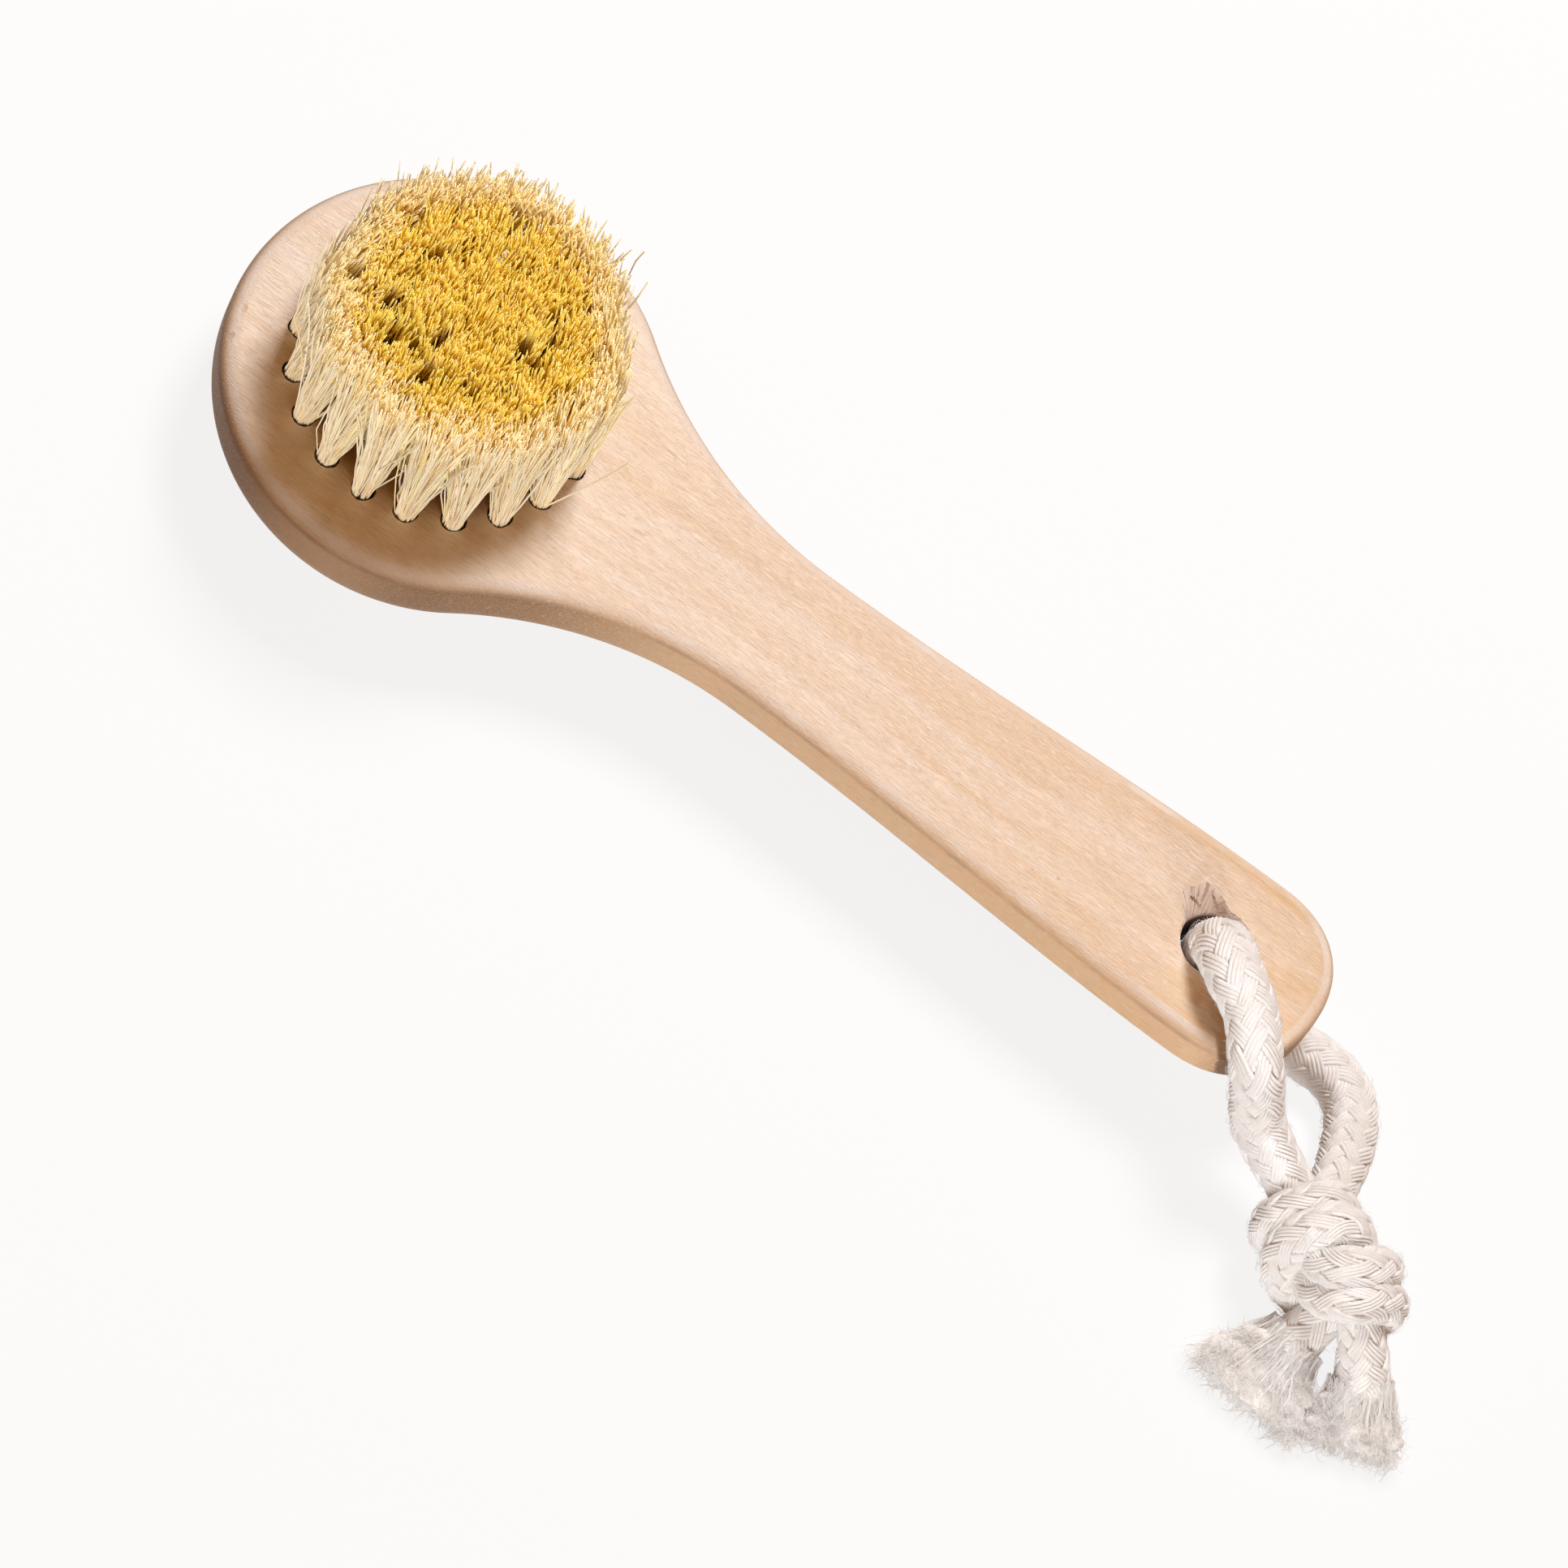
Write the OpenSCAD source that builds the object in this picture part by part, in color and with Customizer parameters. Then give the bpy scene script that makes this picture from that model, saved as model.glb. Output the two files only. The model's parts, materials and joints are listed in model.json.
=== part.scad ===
// Body dry brush: a one-piece wooden head and handle, bristle tufts pulled into drilled
// holes by metal anchors, and a knotted cotton hanging cord through the end of the handle.
// X runs along the handle, Z is up, and the brush lies on its back with the bristles up.

/* [Wooden body] */
// Overall length of the body
overall_l = 154; // [140:1:190]
// Diameter of the round head
head_d = 54; // [50:1:62]
// Thickness of the head from the bristle face to the resting spot on its back
head_t = 17.2; // [15:0.2:22]
// Width at the narrowest point of the neck
neck_w = 19.6; // [16:0.2:22]
// Distance of the narrowest point from the centre of the head
neck_from_head = 50; // [46:1:58]
// Widest part of the handle, near its end
handle_w = 24.2; // [22:0.2:28]
// Thickness of the handle
handle_t = 10.2; // [9:0.2:10.6]
// Length of the rounded end of the handle
end_l = 12.4; // [11:0.2:15]
// How square the rounded end is, where 2 is an ellipse
end_squareness = 2.3; // [2:0.1:3]
// Height of the straight side wall, with the rounded top edge in it
wall_h = 5.6; // [4:0.2:7]
// Radius of the edge around the bristle face
edge_r = 2.2; // [0.8:0.1:3]
// Depth sanded off the domed back for it to rest flat
sanded = 0.6; // [0.3:0.1:1.2]

/* [Hanging hole] */
// Diameter of the hole for the cord
hole_d = 8.5; // [8:0.5:11]
// Distance from the end of the handle to the axis of the hole
hole_from_end = 15; // [14:0.5:18]
// Chamfer on both rims of the hole
hole_chamfer = 0.3; // [0.2:0.1:0.9]

/* [Tufts] */
// Height of the bristle tips above the face
bristle_h = 20; // [14:0.5:28]
// Number of tufts in the inner ring
inner_count = 7; // [5:1:7]
// Radius of the inner ring
inner_r = 6.2; // [5.8:0.1:6.6]
// Number of tufts in the middle ring
middle_count = 13; // [9:1:13]
// Radius of the middle ring
middle_r = 12.2; // [11.8:0.1:12.6]
// Number of tufts in the outer ring
outer_count = 20; // [14:1:20]
// Radius of the outer ring
outer_r = 18.2; // [17.8:0.1:19]
// How far the tips of the outer ring lean inwards
outer_lean = 0.9; // [0:0.1:1.2]
// Diameter of the drilled holes for the tufts
tuft_hole_d = 3; // [2.8:0.1:3.4]
// Depth of the drilled holes
tuft_hole_depth = 8; // [6.5:0.5:9]
// Clearance of a tuft in its hole, at the side and at the bottom
tuft_clearance = 0.1; // [0.05:0.05:0.2]
// Radius of a strand, which stands for several hairs
strand_r = 0.26; // [0.15:0.01:0.28]
// How far the outer strands of a tuft spread at their tips
tip_spread = 2.1; // [1.2:0.1:2.2]
// How much shorter or longer than the rest a strand can be
trim_unevenness = 0.5; // [0:0.1:1]

/* [Tuft anchors] */
// Thickness of the metal strip
anchor_t = 0.35; // [0.2:0.05:0.5]
// Height of the metal strip
anchor_h = 1.6; // [1:0.1:2]
// How far each end bites into the wood beside the hole
anchor_bite = 0.25; // [0.1:0.05:0.4]
// Thickness of the folded bristles under the strip
fold_t = 1.2; // [0.8:0.1:1.6]
// Clearance of the strip in the folded bristles
anchor_clearance = 0.05; // [0.02:0.01:0.1]

/* [Cord] */
// Diameter of the free cord
cord_d = 6.5; // [5:0.1:6.5]
// Diameter of the cord where the knot squeezes it
knot_d = 3.6; // [2.8:0.1:3.6]
// Length of the loosened yarn at each end of the cord
fray_l = 8; // [4:0.5:10]
// Width of the left fan of yarn at its tip
left_fray_w = 15; // [9:0.5:18]
// Width of the right fan of yarn at its tip
right_fray_w = 12; // [8:0.5:14]
// Thickness of the fans of yarn at their tips
fray_t = 3; // [2:0.2:5]

/* [Hidden] */
$fn = 48;
head_x = -overall_l / 2 + head_d / 2;
end_x = overall_l / 2;
hole_x = end_x - hole_from_end;
head_r = head_d / 2;
neck_y = neck_w / 2;
handle_y = handle_w / 2;
wall_z = head_t - wall_h;
handle_z = head_t - handle_t;
neck_x = head_x + neck_from_head;
cap_x = end_x - end_l;
// The neck is an arc that touches the round head from outside
fillet_r = (pow(neck_from_head, 2) + pow(neck_y, 2) - pow(head_r, 2)) / (2 * (head_r - neck_y));
fillet_y = neck_y + fillet_r;
touch_angle = atan2(fillet_y, neck_from_head);
// Cutters run this far past the face that they cut
through = 1;

tuft_bottom = head_t - tuft_hole_depth + tuft_clearance;
tuft_r = tuft_hole_d / 2 - tuft_clearance;
// Strands start this far down inside the root of their tuft
strand_root = 1;
// Roots of the outer strands stay inside the edge, and the inner strands keep this share of it
root_inset = 1.4 * strand_r;
outer_root = tuft_r - root_inset;
inner_share = 0.41;
anchor_z = tuft_bottom + fold_t;
anchor_l = tuft_hole_d + 2 * anchor_bite;

// A ring of tufts is a name, a count, a radius, a lean of the tips and a turn in degrees
RINGS = [
    ["inner", inner_count, inner_r, 0, 10],
    ["middle", middle_count, middle_r, 0, 4],
    ["outer", outer_count, outer_r, outer_lean, 1]
];
function two_digits(n) = str(n < 10 ? "0" : "", n);
function tuft_name(ring, i) = str("tuft_", ring[0], "_", two_digits(i + 1));
// A tuft is its name, its angle about the head, and the radius of its root and of its tips
TUFTS = concat(
    [["tuft_centre", 0, 0, 0]],
    [for (ring = RINGS) for (i = [0 : ring[1] - 1])
        [tuft_name(ring, i), ring[4] + 360 * i / ring[1], ring[2], ring[2] - ring[3]]]
);

wood_colour = [0.93, 0.80, 0.65];
bristle_colour = [0.88, 0.77, 0.50];
cord_colour = [0.94, 0.91, 0.86];

// Outline of the body, seen from above: the half with y >= 0, from the head to the end

head_steps = 24;
neck_steps = 9;
handle_steps = 9;
end_steps = 12;

function smooth(t) = t * t * (3 - 2 * t);
function clamp01(t) = min(1, max(0, t));

function head_point(a) = [head_x + head_r * cos(a), head_r * sin(a)];
function neck_point(x) = [x, fillet_y - sqrt(pow(fillet_r, 2) - pow(x - neck_x, 2))];
function handle_point(t) =
    [neck_x + (cap_x - neck_x) * t, neck_y + (handle_y - neck_y) * smooth(t)];
function end_point(a) =
    [cap_x + end_l * pow(sin(a), 2 / end_squareness), handle_y * pow(cos(a), 2 / end_squareness)];

touch_x = head_point(touch_angle)[0];
half_outline = concat(
    [for (i = [0 : head_steps]) head_point(180 + (touch_angle - 180) * i / head_steps)],
    [for (i = [1 : neck_steps]) neck_point(touch_x + (neck_x - touch_x) * i / neck_steps)],
    [for (i = [1 : handle_steps]) handle_point(i / handle_steps)],
    [for (i = [1 : end_steps]) end_point(90 * i / end_steps)]
);
last = len(half_outline) - 1;
outline = concat(
    [for (i = [0 : last]) half_outline[i] * [[1, 0], [0, i == 0 || i == last ? 0 : 1]]],
    [for (i = [last - 1 : -1 : 1]) [half_outline[i][0], -half_outline[i][1]]]
);
around = len(outline);

function unit(v) = v / norm(v);
function outward(i) =
    let (d = outline[(i + 1) % around] - outline[(i + around - 1) % around]) unit([-d[1], d[0]]);
// The point of the middle line that a point of the outline belongs to
function spine(i) = [min(cap_x, max(head_x, outline[i][0])), 0];
// Height of the back along the middle line: a dome under the head, then up to the handle
rise_margin = 2;
rise_l = neck_from_head - 2 * rise_margin;
function back_z(x) =
    -sanded + (handle_z + sanded) * smooth(clamp01((x - head_x - rise_margin) / rise_l));

function at_height(p, z) = [p[0], p[1], z];
function face_ring() = [for (i = [0 : around - 1]) at_height(spine(i), head_t)];
function edge_ring(a) = [for (i = [0 : around - 1])
    at_height(outline[i] - outward(i) * edge_r * (1 - sin(a)), head_t - edge_r * (1 - cos(a)))];
function back_ring(a) = [for (i = [0 : around - 1])
    let (s = spine(i), back = back_z(s[0]))
    at_height(s + (outline[i] - s) * cos(a), wall_z - (wall_z - back) * sin(a))];

// A skin of rings of points, each ring as long as the next, as triangles with no empty ones
function quad(a, b, c, d) = [[a, b, c], [a, c, d]];
function skin(rows, across) = [for (r = [0 : rows - 2]) for (i = [0 : across - 1])
    let (j = (i + 1) % across)
    for (t = quad(r * across + i, r * across + j, (r + 1) * across + j, (r + 1) * across + i)) t];
function solid_triangles(points, faces) = [for (f = faces)
    if (points[f[0]] != points[f[1]] && points[f[1]] != points[f[2]] && points[f[2]] != points[f[0]]) f];

edge_steps = 5;
back_steps = 8;

module body_block() {
    rings = concat(
        [face_ring()],
        [for (k = [0 : edge_steps]) edge_ring(90 * k / edge_steps)],
        [for (k = [0 : back_steps]) back_ring(90 * k / back_steps)]
    );
    points = [for (ring = rings) for (p = ring) p];
    faces = solid_triangles(points, skin(len(rings), around));
    polyhedron(points = points, faces = faces);
}

module at_tuft(tuft) {
    translate([head_x, 0, 0])
        rotate([0, 0, tuft[1]])
            translate([tuft[2], 0, 0])
                children();
}

module hole_rim(z, flip) {
    translate([hole_x, 0, z])
        mirror([0, 0, flip])
            translate([0, 0, -hole_chamfer])
                cylinder(h = hole_chamfer + through, r1 = hole_d / 2,
                    r2 = hole_d / 2 + hole_chamfer + through);
}

module wooden_body() {
    color(wood_colour)
        difference() {
            body_block();
            translate([head_x, 0, -head_t])
                cylinder(h = head_t, r = head_d);
            for (tuft = TUFTS)
                at_tuft(tuft)
                    translate([0, 0, head_t - tuft_hole_depth])
                        cylinder(h = tuft_hole_depth + through, d = tuft_hole_d);
            translate([hole_x, 0, handle_z - through])
                cylinder(h = handle_t + 2 * through, d = hole_d);
            hole_rim(head_t, 0);
            hole_rim(handle_z, 1);
        }
}

// One strip lies flat on edge in each tuft hole, across the handle
module anchor_strip(l, t, h) {
    translate([-t / 2, -l / 2, 0])
        cube([t, l, h]);
}

module tuft_anchors() {
    color("silver")
        for (tuft = TUFTS)
            at_tuft(tuft)
                rotate([0, 0, -tuft[1]])
                    translate([0, 0, anchor_z])
                        anchor_strip(anchor_l, anchor_t, anchor_h);
}

// A strand is its angle in the tuft, and how far from the tuft's middle its root and tip are
inner_strands = 3;
inner_turn = 30;
outer_strands = 7;
STRANDS = concat(
    [for (i = [0 : inner_strands - 1])
        [inner_turn + 360 * i / inner_strands, outer_root * inner_share, tip_spread * inner_share]],
    [for (i = [0 : outer_strands - 1]) [360 * i / outer_strands, outer_root, tip_spread]]
);

module strand(from, to) {
    way = to - from;
    translate(from)
        rotate([0, acos(way[2] / norm(way)), atan2(way[1], way[0])])
            cylinder(h = norm(way), r = strand_r, $fn = 3);
}

module bristle_tuft(tuft) {
    lean = tuft[3] - tuft[2];
    trims = rands(-trim_unevenness, trim_unevenness, len(STRANDS), tuft[1] + tuft[2]);
    color(bristle_colour)
        at_tuft(tuft) {
            difference() {
                translate([0, 0, tuft_bottom])
                    cylinder(h = head_t - tuft_bottom, r = tuft_r);
                rotate([0, 0, -tuft[1]])
                    translate([0, 0, anchor_z - anchor_clearance])
                        anchor_strip(anchor_l, anchor_t + 2 * anchor_clearance,
                            anchor_h + 2 * anchor_clearance);
            }
            for (i = [0 : len(STRANDS) - 1]) {
                s = STRANDS[i];
                side = [cos(s[0]), sin(s[0]), 0];
                strand(side * s[1] + [0, 0, head_t - strand_root],
                    side * s[2] + [lean, 0, head_t + bristle_h + trims[i]]);
            }
        }
}

// The cord is one unbroken piece: left tail, knot, up over the handle, down through the hole,
// under the handle, knot again and right tail. Points are taken from the axis of the hole.

table_gap = 0.05;
table_z = cord_d / 2 + table_gap;
over_z = head_t + cord_d / 2;
// The right strand of the doubled overhand knot, in the knot's own axes, comes from the loop down
// the middle, makes one turn that climbs round the knot from the front, and dives out to the tail
knot_in = [[2.5, 9, -1.5], [0.5, 5, -2], [-2, 1, -1.6], [-3, -2.5, 0.8], [-2.5, -5, 2.8]];
knot_out = [[2.4, 1.6, 6], [2.3, -1, 3.5], [2, -4, 2], [2.2, -6.5, 1.2], [2.5, -9.5, 0.5]];
// The turn's half width and half height, the height of its middle and how much higher it ends
wrap_w = 7;
wrap_h = 6.8;
wrap_mid = -0.6;
wrap_rise = 2;
// Where along the knot the turn starts and ends, and the part of the turn in which it climbs
wrap_from = -7;
wrap_to = 3.2;
climb_from = 0.25;
climb_to = 0.9;
wrap_steps = 12;
function climb(t) = smooth(clamp01((t - climb_from) / (climb_to - climb_from)));
function wrap_point(t) = [
    wrap_w * sin(360 * t),
    wrap_from + (wrap_to - wrap_from) * climb(t),
    wrap_mid + wrap_h * cos(360 * t) + wrap_rise * t
];
knot_strand = concat(knot_in, [for (i = [0 : wrap_steps]) wrap_point(i / wrap_steps)], knot_out);
// Where the middle of the knot is, and how far the knot is turned about the upright
knot_at = [33, -21.1, 8.5];
knot_turn = 46;
left_tail = [[34.7, -30.6, 3.6]];
right_tail = [[43.2, -27.6, 5.4], [44.8, -29.8, 3.7]];
upper_leg = [
    [17, -13.6, 12], [14.2, -12.4, 16.5], [11.8, -11.2, over_z], [8, -6.8, over_z + 0.7],
    [3.9, -3.9, over_z + 0.6], [1.2, -1.2, head_t + 2.2], [0.1, -0.1, head_t - 1.2]
];
lower_leg = [
    [0, 0, 11.5], [0.2, 0.1, 8], [1.1, 0.3, 5.4], [3.2, 0.5, 3.8], [6.5, 0.9, table_z],
    [12, 1.6, table_z], [17, 2.3, table_z], [21.5, 2, table_z], [25, -0.6, 3.6], [27.2, -6, 5]
];
half_turn = [[-1, 0, 0], [0, -1, 0], [0, 0, 1]];
knot_axes = [[cos(knot_turn), sin(knot_turn), 0], [-sin(knot_turn), cos(knot_turn), 0], [0, 0, 1]];
// The cord keeps the knot's diameter this far from its middle, and widens over this length
knot_squeeze = 8;
knot_taper = 8;

// A stretch of cord is a list of points that each carry the cord's diameter there
function with_size(points, d) = [for (p = points) concat(p, d)];
function knot_size(k) = knot_d + (cord_d - knot_d) * clamp01((abs(k[1]) - knot_squeeze) / knot_taper);
function placed(k) = concat(knot_at + k * knot_axes, knot_size(k));
// The left tail leaves the knot one point sooner than the right leg comes in
route = concat(
    with_size(left_tail, cord_d),
    [for (i = [1 : len(knot_strand) - 1]) placed(knot_strand[i] * half_turn)],
    with_size(upper_leg, cord_d),
    with_size(lower_leg, cord_d),
    [for (k = knot_strand) placed(k)],
    with_size(right_tail, cord_d)
);

// A curve through every point, with two steps from each point to the next
curve_steps = 2;
function through_points(a, b, c, d, t) =
    b + (c - a) * t / 2 + (2 * a - 5 * b + 4 * c - d) * t * t / 2
    + (3 * b - a - 3 * c + d) * t * t * t / 2;
function point_of(list, i) = list[min(len(list) - 1, max(0, i))];
function curve(list) = concat(
    [for (i = [0 : len(list) - 2]) for (k = [0 : curve_steps - 1])
        through_points(point_of(list, i - 1), list[i], list[i + 1], point_of(list, i + 2),
            k / curve_steps)],
    [list[len(list) - 1]]
);
cord_curve = curve(route);
cord_points = [for (p = cord_curve) [p[0] + hole_x, p[1], p[2]]];
cord_sizes = [for (p = cord_curve) p[3]];
cord_last = len(cord_points) - 1;
cord_ways = [for (i = [0 : cord_last])
    unit(cord_points[min(cord_last, i + 1)] - cord_points[max(0, i - 1)])];
// The side of the tube is carried along without twist
function square_to(v, way) = unit(v - way * (v * way));
cord_sides = [for (i = 0, s = square_to([0, 0, 1], cord_ways[0]); i <= cord_last;
    i = i + 1, s = square_to(s, cord_ways[min(cord_last, i)])) s];

tube_sides = 8;
// The corners of a tube's section, as unit steps from its middle
function corners(way, side) = [for (k = [0 : tube_sides - 1])
    side * cos(360 * k / tube_sides) + cross(way, side) * sin(360 * k / tube_sides)];
function caps(rows, across) = concat(
    [for (i = [1 : across - 2]) [0, i + 1, i]],
    [for (i = [1 : across - 2]) let (b = (rows - 1) * across) [b, b + i, b + i + 1]]
);

module tube(rings) {
    points = [for (ring = rings) for (p = ring) p];
    faces = concat(skin(len(rings), tube_sides), caps(len(rings), tube_sides));
    polyhedron(points = points, faces = [for (f = faces) [f[0], f[2], f[1]]]);
}

// The least gap between two stretches of the cord that are more than a bend apart
bend_l = 8;
cord_lengths = [for (i = 0, l = 0; i <= cord_last;
    l = l + norm(cord_points[min(cord_last, i + 1)] - cord_points[i]), i = i + 1) l];
cord_gaps = [for (i = [0 : cord_last]) for (j = [i + 1 : cord_last])
    if (cord_lengths[j] - cord_lengths[i] > bend_l)
        norm(cord_points[j] - cord_points[i]) - (cord_sizes[i] + cord_sizes[j]) / 2];
echo(cord_length = cord_lengths[cord_last], cord_least_gap = min(cord_gaps));

module hanging_cord() {
    color(cord_colour)
        tube([for (i = [0 : cord_last])
            [for (c = corners(cord_ways[i], cord_sides[i])) cord_points[i] + c * cord_sizes[i] / 2]]);
}

// A frayed end opens from the end face of the cord to a flat fan that rests on the table
module frayed_end(from, way, side, fray_w) {
    flat = unit([way[0], way[1], 0]);
    across = [-flat[1], flat[0], 0];
    up = cross(way, across);
    fan = corners(way, side);
    tip = [from[0], from[1], fray_t / 2] + flat * fray_l;
    middle = (from + tip) / 2;
    color(cord_colour)
        tube([
            [for (c = fan) from + c * cord_d / 2],
            [for (c = fan) middle + across * (c * across) * (cord_d + fray_w) / 4
                + [0, 0, c * up] * (cord_d + fray_t) / 4],
            [for (c = fan) tip + across * (c * across) * fray_w / 2 + [0, 0, c * up] * fray_t / 2]
        ]);
}

module left_frayed_end() {
    frayed_end(cord_points[0], -cord_ways[0], cord_sides[0], left_fray_w);
}

module right_frayed_end() {
    frayed_end(cord_points[cord_last], cord_ways[cord_last], cord_sides[cord_last], right_fray_w);
}

wooden_body();
tuft_anchors();
for (tuft = TUFTS)
    bristle_tuft(tuft);
hanging_cord();
left_frayed_end();
right_frayed_end();
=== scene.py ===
import json
import logging
from dataclasses import dataclass
from enum import Enum
from typing import Any, Optional, Sequence

import bmesh
import bpy
import numpy as np
from mathutils import Euler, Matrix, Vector

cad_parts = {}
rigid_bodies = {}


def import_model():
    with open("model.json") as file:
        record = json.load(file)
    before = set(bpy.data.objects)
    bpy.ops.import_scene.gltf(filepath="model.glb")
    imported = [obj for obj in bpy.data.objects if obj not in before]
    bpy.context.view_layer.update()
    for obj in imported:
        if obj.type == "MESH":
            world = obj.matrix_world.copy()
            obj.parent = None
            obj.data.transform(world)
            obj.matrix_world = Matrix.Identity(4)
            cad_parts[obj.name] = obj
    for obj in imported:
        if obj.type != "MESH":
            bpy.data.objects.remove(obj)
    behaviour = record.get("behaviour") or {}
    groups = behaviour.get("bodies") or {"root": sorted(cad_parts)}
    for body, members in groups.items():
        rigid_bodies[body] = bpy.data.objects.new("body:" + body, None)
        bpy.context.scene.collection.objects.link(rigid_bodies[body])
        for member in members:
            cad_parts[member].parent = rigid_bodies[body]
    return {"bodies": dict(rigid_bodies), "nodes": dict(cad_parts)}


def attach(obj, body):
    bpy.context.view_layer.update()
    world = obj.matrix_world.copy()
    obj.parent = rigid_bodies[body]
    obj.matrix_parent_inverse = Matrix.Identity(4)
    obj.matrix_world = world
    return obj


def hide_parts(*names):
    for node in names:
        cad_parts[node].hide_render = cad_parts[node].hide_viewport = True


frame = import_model()

LOG = logging.getLogger("dry_brush")
# Metres in a millimetre.
MM = 0.001
# Greatest random start of a wave, in radians.
PHASE = 6.28
UPRIGHT = (0.0, 0.0, 1.0)
Array = np.ndarray
Pair = tuple[float, float]
Triple = tuple[float, float, float]
Colour = Triple
# Two values of something, and the shares there.
Fade = tuple[float, float, float, float]


class Body(Enum):
    """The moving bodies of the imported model."""

    BRUSH = "brush"
    CORD = "cord"


class Slot(Enum):
    """The record's material slots."""

    WOOD = "wood"
    BRISTLE = "bristle"
    COTTON = "cotton"


def smooth(t: Array) -> Array:
    """Ease from 0 to 1 with a flat start and end."""
    t = np.clip(t, 0.0, 1.0)
    return t * t * (3.0 - 2.0 * t)


def unit(v: Array) -> Array:
    """Vectors of length 1 along the last axis."""
    return v / np.maximum(np.linalg.norm(v, axis=-1, keepdims=True), 1e-12)


def circle(sides: int) -> Array:
    """Corners of a unit circle, as pairs of an across and an up share."""
    a = 2.0 * np.pi * np.arange(sides) / sides
    return np.stack([np.cos(a), np.sin(a)], axis=-1)


def settle(piece: bpy.types.Object, body: Body, slot: Slot, *nodes: str) -> None:
    """Attach a piece to the body that carries it, and hide the CAD nodes that it replaces.

    Args:
        piece: The piece.
        body: The body that carries it.
        slot: The record's material slot; not used.
        *nodes: The CAD nodes that it replaces.
    """
    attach(piece, body.value)
    if nodes:
        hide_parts(*nodes)


@dataclass
class Surface:
    """A mesh as whole arrays."""

    points: Array  # corner points in metres, one row each
    loops: Array  # the point of every face corner, face after face
    starts: Array  # the first face corner of every face
    uv: Optional[Array] = None  # a pair for every face corner, or None
    tint: Optional[Array] = None  # a colour for every point, or None
    slots: Optional[Array] = None  # the material index of every face, or None

    def to_object(self, name: str, materials: Sequence[bpy.types.Material],
                  smoothed: bool = True) -> bpy.types.Object:
        """Put the arrays into a new object that sits at the origin.

        Args:
            name: The piece's name.
            materials: The piece's materials, in slot order.
            smoothed: Whether light runs on across the edges of its faces.

        Returns:
            The linked object.
        """
        mesh = bpy.data.meshes.new(name)
        mesh.vertices.add(len(self.points))
        mesh.vertices.foreach_set("co", np.asarray(self.points, np.float32).ravel())
        mesh.loops.add(len(self.loops))
        mesh.loops.foreach_set("vertex_index", np.asarray(self.loops, np.int32))
        mesh.polygons.add(len(self.starts))
        mesh.polygons.foreach_set("loop_start", np.asarray(self.starts, np.int32))
        if self.slots is not None:
            mesh.polygons.foreach_set("material_index", np.asarray(self.slots, np.int32))
        if self.uv is not None:
            layer = mesh.uv_layers.new(name="UVMap")
            layer.data.foreach_set("uv", np.asarray(self.uv, np.float32).ravel())
        if self.tint is not None:
            layer = mesh.attributes.new("tint", "FLOAT_COLOR", "POINT")
            rgba = np.concatenate([self.tint, np.ones((len(self.tint), 1))], axis=1)
            layer.data.foreach_set("color", np.asarray(rgba, np.float32).ravel())
        mesh.update(calc_edges=True)
        if not smoothed:
            mesh.shade_flat()
        for material in materials:
            mesh.materials.append(material)
        piece = bpy.data.objects.new(name, mesh)
        bpy.context.scene.collection.objects.link(piece)
        return piece


def sweep(paths: Array, ups: Array, across: Array, up: Array, section: Array) -> Surface:
    """Carry a section along many paths at once, as closed tubes.

    A corner is the path's point, plus the section's first share times the tube's half width along
    its side vector, plus the second share times its half thickness along its up vector. The side
    vector is the cross product of the path's way and the up vector.

    Args:
        paths: Points of n paths of m points each, shape (n, m, 3), in metres.
        ups: Vectors that point to the tubes' upper side, shape (n, m, 3).
        across: Half widths, shape (n, m).
        up: Half thicknesses, shape (n, m).
        section: Corners of the unit section, shape (s, 2), or (n, m, s, 2).

    Returns:
        The closed tubes, with the share of the length and the turn as UV.
    """
    n, m = paths.shape[:2]
    section = np.broadcast_to(section, (n, m) + section.shape[-2:])
    s = section.shape[2]
    ways = unit(np.gradient(paths, axis=1))
    sides = unit(np.cross(ways, ups))
    rises = np.cross(sides, ways)
    points = (
        paths[:, :, None]
        + sides[:, :, None] * (across[:, :, None] * section[..., 0])[..., None]
        + rises[:, :, None] * (up[:, :, None] * section[..., 1])[..., None]
    )
    index = np.arange(n * m * s).reshape(n, m, s)
    turned = np.roll(index, -1, axis=2)
    quads = np.stack([index[:, :-1], index[:, 1:], turned[:, 1:], turned[:, :-1]], axis=-1)
    caps = np.concatenate([index[:, 0], index[:, -1, ::-1]]).reshape(-1)
    loops = np.concatenate([quads.reshape(-1), caps])
    starts = np.concatenate([
        4 * np.arange(quads.size // 4), quads.size + s * np.arange(2 * n)
    ])
    along = np.broadcast_to(np.linspace(0.0, 1.0, m)[None, :, None], (n, m, s))
    turn = np.broadcast_to(np.arange(s)[None, None] / s, (n, m, s))
    step = 1.0 / s
    u = np.stack([along[:, :-1], along[:, 1:], along[:, 1:], along[:, :-1]], axis=-1)
    v = np.stack([turn[:, :-1], turn[:, 1:], turn[:, 1:] + step, turn[:, :-1] + step], axis=-1)
    side_uv = np.stack([u, v], axis=-1).reshape(-1, 2)
    cap_uv = np.stack([along.reshape(-1)[caps], turn.reshape(-1)[caps]], axis=-1)
    return Surface(points.reshape(-1, 3), loops, starts, np.concatenate([side_uv, cap_uv]))


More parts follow.
